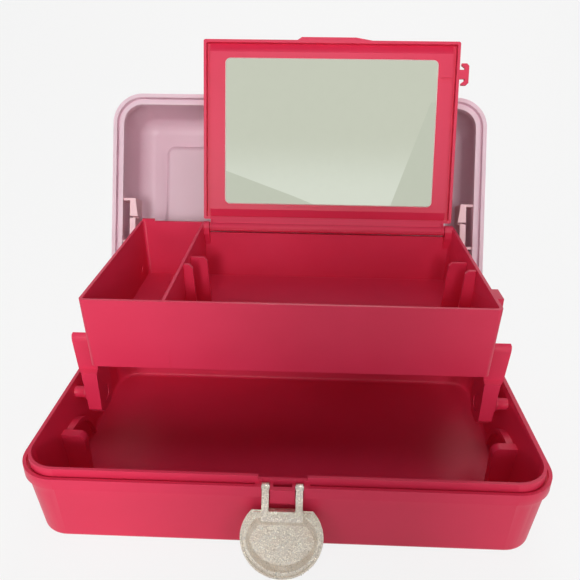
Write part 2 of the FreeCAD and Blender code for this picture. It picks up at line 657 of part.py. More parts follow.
def lid_shell():
    """Built shut over the base, then opened."""
    band = rim_block(0.0, LID_Z, LID_Z + LID_BAND_HEIGHT)
    body = rim_block(LID_BAND_PROUD, LID_Z + PAST, LID_TOP_Z, LID_BAND_PROUD + LID_DRAFT)
    body = body.makeFillet(LID_TOP_ROUND, flat_edges(body, LID_TOP_Z))
    shell = join([band, body])
    hollow = lid_hollow()
    recess = block(RECESS_LENGTH, RECESS_WIDTH, RECESS_CORNER, RECESS_FLOOR_Z, LID_TOP_Z + PAST,
                   grow=RECESS_DRAFT)
    bump = block(RECESS_LENGTH + 2 * RECESS_WALL, RECESS_WIDTH + 2 * RECESS_WALL,
                 RECESS_CORNER + RECESS_WALL, RECESS_FLOOR_Z - RECESS_WALL, LID_TOP_Z - PAST,
                 grow=RECESS_DRAFT)
    bump = bump.makeFillet(RECESS_SOFT, flat_edges(bump, RECESS_FLOOR_Z - RECESS_WALL))
    shell = shell.cut(hollow.cut(bump))
    shell = shell.cut(recess)
    groove = rim_block(LID_RIM_OUTER, LID_Z - PAST, LID_Z + LID_GROOVE_DEPTH)
    groove = groove.cut(rim_block(LID_RIM_OUTER + LID_GROOVE, LID_Z - 2 * PAST, LID_TOP_Z))
    shell = shell.cut(groove)
    half = LID_NOTCH_WIDTH / 2
    notch = box(-half, half, FRONT_Y - PAST, FRONT_Y + LID_NOTCH_DEPTH,
                LID_Z - PAST, LID_Z + LID_NOTCH_HEIGHT)
    shell = shell.cut(notch).fuse(handle_lugs())
    spans = [knuckle_spans(side * HINGE_X) for _, side in SIDES]
    middle = [three[1] for three in spans]
    outer = [span for three in spans for span in (three[0], three[2])]
    shell = shell.fuse([knuckle(span, True) for span in middle])
    cuts = [hinge_room(span, HINGE_END_GAP) for span in outer]
    cuts += [rod(span[0] - PAST, span[1] + PAST, HINGE, HINGE_PIN_R + RUN_CLEARANCE)
             for span in middle]
    for _, side in SIDES:
        x0, x1 = handle_pin_span(side)
        cuts.append(rod(x0, x1, HANDLE_AXIS, HANDLE_PIN_R))
    return opened(shell.cut(cuts).removeSplitter())


def on_lid(along, front):
    """(y, z) in the shut place of a point along the lid and in front of its rim plane."""
    return HINGE.y - along, LID_Z - front


def lid_bracket(side):
    """Plate on two flanges inside the lid, with an ear that carries the tray's pivot."""
    pivot = turned(Part.Vertex(TRAY_PIVOT), HINGE, LID_OPEN_ANGLE).Point
    along = HINGE.y - pivot.y
    front = LID_Z - pivot.z
    x0 = side * BRACKET_INNER_X
    x1 = x0 + side * BRACKET_THICK
    ring_in = along - BRACKET_EAR_R
    ring_out = along + BRACKET_EAR_R
    points = [(BRACKET_TOP, BRACKET_EDGE), (BRACKET_TOP, BRACKET_BACK),
              (BRACKET_HEEL, BRACKET_BACK), (BRACKET_HEEL, BRACKET_EDGE),
              (ring_in, front), (ring_out, front), (BRACKET_LOW, BRACKET_EDGE)]
    web = plate([on_lid(*point) for point in points], x0, x1)
    web = web.fuse(rod(x0, x1, pivot, BRACKET_EAR_R))
    wall_x = side * (RIM_LENGTH / 2 - LID_BAND_PROUD)
    room = lid_hollow()
    flanges = []
    for place in (BRACKET_TOP - BRACKET_FLANGE, BRACKET_LOW - BRACKET_FLANGE, BRACKET_HEEL):
        y0, z0 = on_lid(place, BRACKET_EDGE)
        y1, z1 = on_lid(place + BRACKET_FLANGE, BRACKET_BACK)
        flanges.append(box(x0, wall_x, y0, y1, z0, z1).common(room))
    slit_low = on_lid(BRACKET_SLIT, BRACKET_EDGE + PAST)
    slit_high = on_lid(BRACKET_SLIT + BRACKET_SLIT_WIDTH, BRACKET_EDGE - BRACKET_SLIT_DEPTH)
    slit = box(x0 - side * PAST, x1 + side * PAST, slit_low[0], slit_high[0],
               slit_low[1], slit_high[1])
    tongue_low = HINGE.y - BRACKET_SLIT - BRACKET_SLIT_WIDTH
    tongue_high = tongue_low - TONGUE_LENGTH
    wedge = [Vector(x0, tongue_low, slit_low[1]), Vector(x0 - side * TONGUE_REACH, tongue_low,
                                                         slit_low[1]),
             Vector(x0, tongue_high, slit_low[1])]
    tongue = Part.Face(Part.makePolygon(wedge + wedge[:1])).extrude(
        Vector(0, 0, BRACKET_SLIT_DEPTH + PAST))
    tongue.translate(Vector(0, 0, LID_Z - BRACKET_EDGE - slit_low[1]))
    made = web.fuse(flanges + [tongue]).cut(slit)
    made = made.cut(rod(x0 - side * PAST, x1 + side * PAST, pivot, STUD_R))
    return opened(made.removeSplitter())


# ---- carry handle ------------------------------------------------------------
def handle_pin_span(side):
    reach = HANDLE_LEG_WIDTH / 2 + HANDLE_SIDE_GAP + HANDLE_LUG_THICK
    return side * HANDLE_HALF - reach, side * HANDLE_HALF + reach


def hang(shape):
    """Opens a handle piece with the lid and lets it hang straight down."""
    at_rest = turned(shape, HANDLE_AXIS, LID_OPEN_ANGLE - 90.0)
    return opened(at_rest)


def carry_handle():
    """A bail: two flat legs with eyes, and a round grip with bent ends."""
    z = HANDLE_AXIS.z
    grip_y = HANDLE_AXIS.y + HANDLE_REACH
    bend = HANDLE_BEND_R
    half = HANDLE_HALF
    points = [Vector(-half, HANDLE_AXIS.y, z), Vector(-half, grip_y - bend, z),
              Vector(-half + bend, grip_y, z), Vector(half - bend, grip_y, z),
              Vector(half, grip_y - bend, z), Vector(half, HANDLE_AXIS.y, z)]
    slope = bend * (1 - math.sqrt(0.5))
    path = Part.Wire([
        Part.makeLine(points[0], points[1]),
        Part.Arc(points[1], Vector(-half + slope, grip_y - slope, z), points[2]).toShape(),
        Part.makeLine(points[2], points[3]),
        Part.Arc(points[3], Vector(half - slope, grip_y - slope, z), points[4]).toShape(),
        Part.makeLine(points[4], points[5])])
    start = points[0]
    profile = Part.Wire([Part.Ellipse(start, HANDLE_LEG_WIDTH / 2, HANDLE_LEG_THICK / 2).toShape()])
    profile.rotate(start, X_AXIS, 90)
    bail = path.makePipeShell([profile], True, False)
    pieces = [bail]
    grip_half = half - bend
    pieces.append(rod(-grip_half, grip_half, Vector(0, grip_y, z), HANDLE_GRIP_R))
    width = HANDLE_LEG_WIDTH / 2
    for _, side in SIDES:
        x = side * half
        pieces.append(rod(x - width, x + width, HANDLE_AXIS, HANDLE_EYE_R))
    bail = pieces[0].fuse(pieces[1:])
    for _, side in SIDES:
        x = side * half
        bail = bail.cut(rod(x - width - PAST, x + width + PAST, HANDLE_AXIS,
                            HANDLE_PIN_R + RUN_CLEARANCE))
    return hang(bail)


def handle_pin(side):
    x0, x1 = handle_pin_span(side)
    return opened(rod(x0, x1, HANDLE_AXIS, HANDLE_PIN_R))


# ---- arms --------------------------------------------------------------------
def arm_side_view():
    """The arm's outline seen from the side: a foot with a tail, a bend and a set-back top."""
    front, back = ARM_PIVOT.y - ARM_HALF_WIDTH, ARM_PIVOT.y + ARM_HALF_WIDTH
    tail = ARM_PIVOT.z - ARM_TAIL
    foot = tail - ARM_TAIL_CHAMFER
    bend = ARM_PIVOT.z + ARM_BEND_UP
    over = bend + ARM_BEND_RISE
    low = plate([(front, tail), (front, bend), (front + ARM_BEND_BACK, over),
                 (back + ARM_BEND_BACK, over), (back, bend), (back, tail),
                 (back - ARM_TAIL_CHAMFER, foot), (front + ARM_TAIL_CHAMFER, foot)],
                ARM_INNER_X, ARM_INNER_X + ARM_TOP_THICK)
    top = ARM_TOP_PIVOT.z + ARM_TOP_OVER
    high = box(ARM_INNER_X, ARM_INNER_X + ARM_TOP_THICK, front + ARM_BEND_BACK,
               back + ARM_BEND_BACK, over - ARM_BEND_RISE / 2, top)
    ends = [e for e in flat_edges(high, top) if e.BoundBox.XLength > PAST]
    return low.fuse(high.makeFillet(ARM_TOP_ROUND, ends))


def arm_front_view():
    """What lies outside the arm seen from the front: it widens upwards and steps at the bend."""
    tail = ARM_PIVOT.z - ARM_TAIL
    bend = ARM_PIVOT.z + ARM_BEND_UP
    top = ARM_TOP_PIVOT.z + ARM_TOP_OVER
    corner = ARM_CORNER * (1 - math.sqrt(0.5))
    x_top = ARM_INNER_X + ARM_TOP_THICK
    far = ARM_INNER_X + ARM_TOP_THICK + PAST
    bounds = [(ARM_INNER_X + ARM_FOOT_THICK, tail - ARM_TAIL_CHAMFER - PAST),
              (ARM_INNER_X + ARM_FOOT_THICK, tail), (ARM_INNER_X + ARM_LOW_THICK, bend),
              (ARM_INNER_X + ARM_HIGH_THICK, bend + ARM_BEND_RISE), (x_top, top - ARM_CORNER),
              (x_top - corner, top - corner), (x_top - ARM_CORNER, top),
              (x_top - ARM_CORNER, top + PAST), (far, top + PAST),
              (far, tail - ARM_TAIL_CHAMFER - PAST)]
    y0 = ARM_PIVOT.y - ARM_HALF_WIDTH - PAST
    corners = [Vector(x, y0, z) for x, z in bounds]
    reach = 2 * (ARM_HALF_WIDTH + PAST) + ARM_BEND_BACK
    return Part.Face(Part.makePolygon(corners + corners[:1])).extrude(Vector(0, reach, 0))


def arm_hollow():
    """The channel's inside, in two bays with a rib at the bend."""
    inside = ARM_HALF_WIDTH - ARM_FLANGE
    bend = ARM_PIVOT.z + ARM_BEND_UP
    low = [ARM_PIVOT.z + ARM_HUB_R + ARM_FLANGE, bend - ARM_FLANGE]
    open_z = ARM_TOP_PIVOT.z - ARM_OPEN_DROP
    high = [bend + ARM_BEND_RISE, open_z]
    x0, x1 = ARM_INNER_X + ARM_WEB, ARM_INNER_X + ARM_TOP_THICK + PAST
    front, back = ARM_PIVOT.y + ARM_BEND_BACK - inside, ARM_PIVOT.y + ARM_BEND_BACK
    bays = [box(x0, x1, front, back + ARM_HALF_WIDTH + PAST, open_z - PAST,
                ARM_TOP_PIVOT.z + ARM_TOP_OVER + PAST)]
    for (z0, z1), shift in ((low, 0.0), (high, ARM_BEND_BACK)):
        middle = ARM_PIVOT.y + shift
        bays.append(box(x0, x1, middle - inside, middle + inside, z0, z1))
    return bays


def arm(side):
    """A channel-shaped arm with a hub on its lower pivot."""
    solid = arm_side_view().cut(arm_front_view()).cut(arm_hollow())
    solid = solid.fuse([rod(ARM_INNER_X, ARM_INNER_X + ARM_HUB_OUT, ARM_PIVOT, ARM_HUB_R),
                        rod(ARM_INNER_X, ARM_INNER_X + ARM_EYE_OUT, ARM_TOP_PIVOT, ARM_EYE_R)])
    cuts = [rod(ARM_INNER_X - PAST, ARM_INNER_X + ARM_HUB_OUT + PAST, centre, STUD_R + RUN_CLEARANCE)
            for centre in (ARM_PIVOT, ARM_TOP_PIVOT)]
    sunk = 2 * STUD_SINK + STUD_HEAD
    cuts.append(rod(ARM_INNER_X - PAST, ARM_INNER_X + sunk, ARM_PIVOT, STUD_HEAD_R + STUD_HEAD_GAP))
    solid = solid.cut(cuts)
    if side == LEFT:
        solid = solid.mirror(Vector(0, 0, 0), X_AXIS)
    return solid.removeSplitter()


# ---- tray --------------------------------------------------------------------
def tray_outer_x(z):
    """Half the tray's outer length at a height."""
    down = (TRAY_RIM_Z - z) / TRAY_HEIGHT
    return TRAY_HALF - TRAY_DRAFT * down


def tray_inner_x(z):
    return tray_outer_x(z) - TRAY_WALL


def fin(wall_x, way, y, reach, drop):
    """A fin that stands out of a wall; way is +1 or -1 along X."""
    top = TRAY_RIM_Z - drop
    low = TRAY_RIM_Z - TRAY_HEIGHT + TRAY_FLOOR / 2
    x_top = wall_x + way * reach
    x_low = x_top + way * FIN_SLOPE
    shape = [(wall_x, low), (x_low, low), (x_top, top - FIN_ROUND),
             (x_top - way * FIN_ROUND, top), (wall_x, top)]
    corners = [Vector(x, y - FIN_THICK / 2, z) for x, z in shape]
    return Part.Face(Part.makePolygon(corners + corners[:1])).extrude(Vector(0, FIN_THICK, 0))


def mirror_lug_spans():
    """X spans of the tray's two lugs; the mirror lid's barrel turns between them."""
    left, right = DIVIDER_X + LUG_LEFT_IN, TRAY_HALF - LUG_RIGHT_IN
    return (left, left + LUG_THICK), (right - LUG_THICK, right)


def mirror_pin_span(side):
    left, right = mirror_lug_spans()
    if side == LEFT:
        return left[0] + MIRROR_PIN_BURIED, left[1] + MIRROR_PIN_REACH
    return right[0] - MIRROR_PIN_REACH, right[1] - MIRROR_PIN_BURIED


def tray_shell():
    depth = TRAY_REAR_Y - TRAY_FRONT_Y
    middle = (TRAY_REAR_Y + TRAY_FRONT_Y) / 2
    low = TRAY_RIM_Z - TRAY_HEIGHT
    outside = block(2 * (TRAY_HALF - TRAY_DRAFT), depth - 2 * TRAY_DRAFT, TRAY_CORNER,
                    low, TRAY_RIM_Z, y=middle, grow=TRAY_DRAFT)
    wall = 2 * TRAY_WALL
    share = TRAY_FLOOR / TRAY_HEIGHT
    set_in = TRAY_DRAFT * (1 - share)
    hollow = block(2 * (TRAY_HALF - set_in) - wall, depth - 2 * set_in - wall,
                   TRAY_CORNER - TRAY_WALL / 2, low + TRAY_FLOOR, TRAY_RIM_Z, y=middle, grow=set_in)
    hollow_top = block(2 * TRAY_HALF - wall, depth - wall, TRAY_CORNER - TRAY_WALL / 2,
                       TRAY_RIM_Z, TRAY_RIM_Z + PAST, y=middle)
    divider = box(DIVIDER_X - DIVIDER_THICK / 2, DIVIDER_X + DIVIDER_THICK / 2,
                  TRAY_FRONT_Y + TRAY_WALL / 2, TRAY_REAR_Y - TRAY_WALL / 2,
                  low + TRAY_FLOOR / 2, TRAY_RIM_Z)
    body = outside.cut(hollow).cut(hollow_top).fuse(divider)
    wall_x = tray_outer_x(low) - TRAY_WALL / 2
    fins = []
    for y, reach, drop in ((FRONT_FIN_Y, FRONT_FIN_REACH, FRONT_FIN_DROP),
                           (REAR_FIN_Y, REAR_FIN_REACH, REAR_FIN_DROP)):
        fins.append(fin(DIVIDER_X, 1, y, reach, drop))
        fins.append(fin(wall_x, -1, y, reach, drop))
    body = body.fuse(fins)
    spans = mirror_lug_spans()
    cut_top = TRAY_RIM_Z - REAR_WALL_CUT
    body = body.cut(box(spans[0][1], spans[1][0], TRAY_REAR_Y - TRAY_WALL - 2 * PAST,
                        TRAY_REAR_Y + PAST, cut_top, TRAY_RIM_Z + PAST))
    lugs = []
    for span in (spans[0], (spans[1][0], TRAY_HALF - TRAY_WALL / 2)):
        foot = [(MIRROR_AXIS.y - LUG_R, MIRROR_AXIS.z), (TRAY_REAR_Y - TRAY_WALL / 2, MIRROR_AXIS.z),
                (TRAY_REAR_Y - TRAY_WALL / 2, cut_top - LUG_FOOT_DROP), (MIRROR_AXIS.y - LUG_R, cut_top)]
        lugs.append(plate(foot, span[0], span[1]))
        lugs.append(rod(span[0], span[1], MIRROR_AXIS, LUG_R).common(
            box(span[0], span[1], MIRROR_AXIS.y - LUG_R, TRAY_REAR_Y,
                cut_top, TRAY_RIM_Z + PAST)))
    body = body.fuse(lugs)
    tab_x = -TRAY_HALF + TRAY_DRAFT
    body = body.fuse(box(tab_x, tab_x + CORNER_TAB, TRAY_REAR_Y - TRAY_WALL, TRAY_REAR_Y,
                         TRAY_RIM_Z - PAST, TRAY_RIM_Z + CORNER_TAB_HEIGHT))
    for _, side in SIDES:
        boss = rod(side * (tray_inner_x(TRAY_PIVOT.z) + TRAY_WALL / 2),
                   side * (BRACKET_INNER_X - ARM_GAP), TRAY_PIVOT, TRAY_BOSS_R)
        body = body.fuse(boss)
        arm_boss_end = side * (ARM_INNER_X - ARM_GAP)
        body = body.fuse(rod(side * (tray_inner_x(ARM_TOP_PIVOT.z) + TRAY_WALL / 2), arm_boss_end,
                             ARM_TOP_PIVOT, TRAY_BOSS_R))
    keeper = box(TRAY_HALF - TRAY_WALL / 2, TRAY_HALF + KEEPER_REACH,
                 KEEPER_Y - KEEPER_LENGTH / 2, KEEPER_Y + KEEPER_LENGTH / 2,
                 TRAY_RIM_Z - KEEPER_HEIGHT, TRAY_RIM_Z - TRAY_WALL / 2)
    body = body.fuse(keeper)
    cuts = []
    for _, side in SIDES:
        cuts.append(rod(side * (TRAY_HALF - 3 * TRAY_WALL), side * BRACKET_INNER_X, TRAY_PIVOT,
                        STUD_R + RUN_CLEARANCE))
        cuts.append(rod(side * (TRAY_HALF - 3 * TRAY_WALL), side * ARM_INNER_X, ARM_TOP_PIVOT, STUD_R))
        x0, x1 = mirror_pin_span(side)
        cuts.append(rod(x0, x1, MIRROR_AXIS, MIRROR_PIN_R))
    return body.cut(cuts).removeSplitter()


# ---- mirror lid --------------------------------------------------------------
def unfolded(shape):
    """Moves a piece from the folded mirror lid's place to the raised one."""
    return turned(shape, MIRROR_AXIS, -MIRROR_OPEN_ANGLE)


def seat_outline(up):
    """(y, z) outline of the raised seat behind the glass, moved outwards by up."""
    front = MIRROR_AXIS.y - MIRROR_REACH + MIRROR_FLANGE
    face = MIRROR_ROOF_Z - PAD_RISE + up
    foot = MIRROR_ROOF_Z + up
    return [(front, foot), (front + PAD_TOP_SLOPE, face), (MIRROR_AXIS.y - PAD_LOW, face),
            (MIRROR_AXIS.y - PAD_ROOT, foot)]


def catch_outline(x1, at):
    """(x, y) outline of the catch: a bar on a stem, with both ends turned in to the lid."""
    half = [(-PAST, CATCH_STEM_HALF), (CATCH_STEM, CATCH_STEM_HALF),
            (CATCH_STEM, CATCH_HALF - CATCH_HOOK_THICK - CATCH_BEVEL),
            (CATCH_HOOK, CATCH_HALF - CATCH_HOOK_THICK), (CATCH_HOOK, CATCH_HALF),
            (CATCH_OUT - CATCH_BEVEL, CATCH_HALF), (CATCH_OUT, CATCH_HALF - CATCH_BEVEL)]
    upper = [(x1 + x, at + y) for x, y in half]
    lower = [(x1 + x, at - y) for x, y in reversed(half)]
    return upper + lower


def rim_line(x0, x1):
    """The groove that leaves a narrow rim around the barrel's front."""
    y, z = MIRROR_AXIS.y, MIRROR_AXIS.z
    deep = BARREL_R - RIM_LINE_DEPTH
    side = z - deep * math.cos(math.asin(RIM_LINE / deep))
    out = z - BARREL_R - PAST
    back = y + RIM_LINE + RIM_LINE_GROOVE / 2
    across = box(x0 + RIM_LINE, x1 - RIM_LINE, back - RIM_LINE_GROOVE, back, out, side)
    path = [(back, side), (y, z - deep), (y - RIM_LINE, side), (y - deep, z),
            (y - MIRROR_HEEL, z + BARREL_R), (y - MIRROR_HEEL, out), (back, out)]
    lines = [across]
    for start in (x0 + RIM_LINE, x1 - RIM_LINE - RIM_LINE_GROOVE):
        lines.append(plate(path, start, start + RIM_LINE_GROOVE))
    return lines


def mirror_lid():
    """Built folded over the tray, then raised."""
    x0, x1 = MIRROR_LEFT_X, MIRROR_RIGHT_X
    front = MIRROR_AXIS.y - MIRROR_REACH
    heel = MIRROR_AXIS.y - MIRROR_HEEL
    low, high = MIRROR_Z, MIRROR_Z + MIRROR_THICK
    length, depth = x1 - x0, heel - front
    x, y = (x0 + x1) / 2, (front + heel) / 2
    frame = block(length, depth, MIRROR_CORNER, low, high, x, y)
    frame = frame.makeFillet(MIRROR_EDGE_ROUND, flat_edges(frame, high))
    inner = block(length - 2 * MIRROR_FLANGE, depth - 2 * MIRROR_FLANGE, MIRROR_INNER_CORNER,
                  low - PAST, MIRROR_ROOF_Z, x, y)
    frame = frame.cut(inner)
    pad_x0, pad_x1 = x0 + MIRROR_FLANGE + PAD_GAP, x1 - MIRROR_FLANGE - PAD_GAP
    pad = plate(seat_outline(0.0), pad_x0, pad_x1)
    behind = plate(seat_outline(MIRROR_PLATE), pad_x0 + PAD_WALL, pad_x1 - PAD_WALL)
    frame = frame.fuse(pad).cut(behind)
    lugs = mirror_lug_spans()
    barrel_x0, barrel_x1 = lugs[0][1] + LUG_GAP, lugs[1][0] - LUG_GAP
    web = [(heel - MIRROR_FLANGE, low), (MIRROR_AXIS.y - BARREL_WEB_IN, MIRROR_AXIS.z),
           (MIRROR_AXIS.y + BARREL_WEB_OUT, MIRROR_AXIS.z + BARREL_WEB_OUT),
           (MIRROR_AXIS.y + MIRROR_TAIL, low),
           (MIRROR_AXIS.y + MIRROR_TAIL, high - MIRROR_EDGE_ROUND),
           (heel - MIRROR_FLANGE, high - MIRROR_EDGE_ROUND)]
    pieces = [rod(barrel_x0, barrel_x1, MIRROR_AXIS, BARREL_R), plate(web, barrel_x0, barrel_x1)]
    lip = [(LIFT_LIP_LEFT, front + MIRROR_FLANGE), (LIFT_LIP_LEFT, front),
           (LIFT_LIP_LEFT + LIFT_LIP_SLOPES[0], front - LIFT_LIP_REACH),
           (LIFT_LIP_RIGHT - LIFT_LIP_SLOPES[1], front - LIFT_LIP_REACH),
           (LIFT_LIP_RIGHT, front), (LIFT_LIP_RIGHT, front + MIRROR_FLANGE)]
    pieces.append(slab(lip, low, low + LIFT_LIP_THICK))
    at = MIRROR_AXIS.y - CATCH_AT
    pieces.append(slab(catch_outline(x1, at), low + CATCH_UP, low + CATCH_UP + CATCH_THICK))
    frame = frame.fuse(pieces)
    cuts = rim_line(barrel_x0, barrel_x1)
    slot_y = MIRROR_AXIS.y - CATCH_SLOT_AT
    seat_z = MIRROR_ROOF_Z - PAD_RISE
    cuts.append(box(x1 - CATCH_SLOT_FAR, x1 - CATCH_SLOT_NEAR, slot_y - CATCH_SLOT_WIDTH / 2,
                    slot_y + CATCH_SLOT_WIDTH / 2, seat_z - PAST, seat_z + CATCH_SLOT_DEPTH))
    for _, side in SIDES:
        pin_x0, pin_x1 = mirror_pin_span(side)
        cuts.append(rod(pin_x0 - PIN_END_GAP, pin_x1 + PIN_END_GAP, MIRROR_AXIS,
                        MIRROR_PIN_R + RUN_CLEARANCE))
    for span in ((x0 - PAST, barrel_x0), (barrel_x1, x1 + PAST)):
        cuts.append(rod(span[0], span[1], MIRROR_AXIS, LUG_R + LUG_GAP))
    return unfolded(frame.cut(cuts).removeSplitter())


def glass_block(margin, z0, z1):
    x = (GLASS_LEFT_X + GLASS_RIGHT_X) / 2
    length = GLASS_RIGHT_X - GLASS_LEFT_X - 2 * margin
    depth = GLASS_FAR - GLASS_NEAR - 2 * margin
    y = MIRROR_AXIS.y - (GLASS_FAR + GLASS_NEAR) / 2
    return block(length, depth, GLASS_CORNER, z0, z1, x, y)


def mirror_tape():
    top = MIRROR_ROOF_Z - PAD_RISE
    return unfolded(glass_block(TAPE_MARGIN, top - TAPE_THICK, top))


def mirror_glass():
    top = MIRROR_ROOF_Z - PAD_RISE - TAPE_THICK
    return unfolded(glass_block(0.0, top - GLASS_THICK, top))


# ---- latch -------------------------------------------------------------------
def latch_outline(set_in, near_in, n):
    """The D-shaped outline at a distance n in front of the arm plane, as a wire."""
    y = LATCH_AXIS.y - n
    near = LATCH_AXIS.z + LATCH_SHELL_NEAR + near_in
    far = LATCH_AXIS.z + LATCH_SHELL_FAR - set_in
    half = LATCH_SHELL_HALF - set_in
    top_half = LATCH_SHELL_TOP_HALF - set_in
    wide = near + (far - near) * LATCH_WIDEST
    left_low, left_wide = Vector(-top_half, y, near), Vector(-half, y, wide)
    right_low, right_wide = Vector(top_half, y, near), Vector(half, y, wide)
    bow = Vector(half - (half - top_half) * LATCH_BOW_IN, y, near + (wide - near) * LATCH_BOW_AT)
    bow_left = Vector(-bow.x, y, bow.z)
    return Part.Wire([Part.makeLine(left_low, right_low),
                      Part.Arc(right_low, bow, right_wide).toShape(),
                      Part.Arc(right_wide, Vector(0, y, far), left_wide).toShape(),
                      Part.Arc(left_wide, bow_left, left_low).toShape()])


def latch_flap():
    """Built shut, standing up against the lid, then let down."""
    n0, n1 = LATCH_RIM_N, LATCH_RIM_N + LATCH_DEPTH
    shell = Part.makeLoft([latch_outline(0.0, 0.0, n0),
                           latch_outline(LATCH_DRAFT, LATCH_NEAR_DRAFT, n1)], True, True)
    hollow_in, hollow_near = LATCH_WALL + LATCH_DRAFT, LATCH_WALL + LATCH_NEAR_DRAFT
    hollow = Part.makeLoft([latch_outline(LATCH_WALL, LATCH_WALL, n0 - PAST),
                            latch_outline(hollow_in, hollow_near, n1 - LATCH_WALL)], True, True)
    step = Part.makeLoft([latch_outline(LATCH_STEP, LATCH_STEP, n0 - PAST),
                          latch_outline(LATCH_STEP, LATCH_STEP, n0 + LATCH_STEP_DEPTH)], True, True)
    shell = shell.cut(hollow).cut(step)
    half = LATCH_ARM_THICK / 2
    y, z = LATCH_AXIS.y, LATCH_AXIS.z
    pieces = [shell]
    for _, side in SIDES:
        x0 = side * LATCH_ARM_X - LATCH_ARM_WIDTH / 2
        x1 = x0 + LATCH_ARM_WIDTH
        pieces.append(box(x0, x1, y - half, y + half, z, z + LATCH_BAR_FAR))
        pieces.append(rod(x0, x1, LATCH_AXIS, LATCH_ARM_END_R))
    pieces.append(box(-LATCH_BAR_HALF, LATCH_BAR_HALF, y - n0 - LATCH_BAR_PROUD, y + half,
                      z + LATCH_BAR_NEAR, z + LATCH_BAR_FAR))
    flap = pieces[0].fuse(pieces[1:])
    for _, side in SIDES:
        x = side * LATCH_ARM_X
        reach = LATCH_ARM_WIDTH / 2 + PAST
        flap = flap.cut(rod(x - reach, x + reach, LATCH_AXIS, LATCH_PIN_R + RUN_CLEARANCE))
    return turned(flap.removeSplitter(), LATCH_AXIS, 180.0 - LATCH_HANG_ANGLE)


def latch_pins():
    rods = [rod(*latch_pin_span(side), LATCH_AXIS, LATCH_PIN_R) for _, side in SIDES]
    return Part.makeCompound(rods)


# ---- write every piece -------------------------------------------------------
def main():
    os.makedirs("parts", exist_ok=True)
    save("base_tub", base_tub())
    save("latch_pins", latch_pins())
    save("latch_flap", latch_flap())
    save("lid_shell", lid_shell())
    save("carry_handle", carry_handle())
    save("tray_shell", tray_shell())
    save("mirror_lid", mirror_lid())
    save("mirror_tape", mirror_tape())
    save("mirror_glass", mirror_glass())
    for name, side in SIDES:
        save("hinge_pin_" + name, hinge_pin(side))
        save("arm_stud_" + name, arm_stud(side))
        save("arm_top_stud_" + name, arm_top_stud(side))
        save("arm_" + name, arm(side))
        save("tray_stud_" + name, tray_stud(side))
        save("lid_bracket_" + name, lid_bracket(side))
        save("handle_pin_" + name, handle_pin(side))
        save("mirror_pin_" + name, mirror_pin(side))


main()
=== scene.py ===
# %% [markdown]
# # Makeup storage case with a carry handle, standing open
# The case is injection moulded: a hot pink base, tray, mirror lid, arms and handle,
# a pale pink outer lid, and a clear latch full of silver glitter.
# The frame already holds every moulded part in its place, in metres.
# This lesson dresses those parts, adds the glitter, and sets up the light and the camera.

import math
import random

import bmesh
import bpy
from mathutils import Matrix, Vector


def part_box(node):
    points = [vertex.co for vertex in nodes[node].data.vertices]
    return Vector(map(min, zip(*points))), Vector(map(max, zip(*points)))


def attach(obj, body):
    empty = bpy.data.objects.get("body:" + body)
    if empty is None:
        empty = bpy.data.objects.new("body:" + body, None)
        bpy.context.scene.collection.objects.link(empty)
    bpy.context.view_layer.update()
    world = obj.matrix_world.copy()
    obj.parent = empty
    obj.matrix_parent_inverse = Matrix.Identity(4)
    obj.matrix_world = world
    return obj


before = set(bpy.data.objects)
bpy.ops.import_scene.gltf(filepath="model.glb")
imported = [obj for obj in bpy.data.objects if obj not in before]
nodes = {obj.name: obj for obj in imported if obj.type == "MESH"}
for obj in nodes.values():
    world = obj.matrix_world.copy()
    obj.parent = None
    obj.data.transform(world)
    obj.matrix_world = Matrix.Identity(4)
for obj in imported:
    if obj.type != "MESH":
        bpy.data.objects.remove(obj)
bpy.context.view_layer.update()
print("nodes in the frame:", len(nodes))

# %% [markdown]
# ## Camera
# Somebody who opens the case on a table sees it from close by and from above.
# The camera could be aimed with a Track To constraint at an empty. Here it has a place
# and three turns instead, so that one number changes one thing: yaw turns it to the
# side, pitch tips it down and roll leans it.

# %% Camera
CAMERA_AT = Vector((0.0120, -0.3447, 0.2871))
CAMERA_YAW = -0.0351
CAMERA_PITCH = 0.4403
CAMERA_ROLL = 0.0090
CAMERA_LENS = 37.71
CAMERA_NEAREST = 0.01


def camera_axes(yaw, pitch, roll):
    """Right, down and forward directions of the camera."""
    forward = Vector((math.sin(yaw) * math.cos(pitch), math.cos(yaw) * math.cos(pitch),
                      -math.sin(pitch)))
    level = Vector((math.cos(yaw), -math.sin(yaw), 0.0))
    down = forward.cross(level)
    right = math.cos(roll) * level - math.sin(roll) * down
    return right, math.sin(roll) * level + math.cos(roll) * down, forward


def place_camera():
    """The scene's camera, at its place and turned."""
    right, down, forward = camera_axes(CAMERA_YAW, CAMERA_PITCH, CAMERA_ROLL)
    data = bpy.data.cameras.new("camera")
    data.lens = CAMERA_LENS
    data.clip_start = CAMERA_NEAREST
    camera = bpy.data.objects.new("camera", data)
    turn = Matrix((right, -down, -forward)).transposed().to_4x4()
    camera.matrix_world = Matrix.Translation(CAMERA_AT) @ turn
    bpy.context.scene.collection.objects.link(camera)
    bpy.context.scene.camera = camera


place_camera()
print("camera looks down by", round(math.degrees(CAMERA_PITCH), 1), "degrees")

# %% [markdown]
# ## Nodes in one line
# A screen colour such as #E6365C is not what the shader wants: it works with linear
# light. One function makes that change for every colour here. Another adds a node, with
# its settings and its links, in one line, and a third starts a material with nothing in
# it. The last turns a real size in millimetres into the scale of a pattern.

# %% Helpers for materials
def linear(code):
    """Linear colour with alpha from an sRGB hex code."""
    parts = [int(code[i:i + 2], 16) / 255 for i in (1, 3, 5)]
    return tuple(c / 12.92 if c <= 0.04045 else ((c + 0.055) / 1.055) ** 2.4
                 for c in parts) + (1.0,)


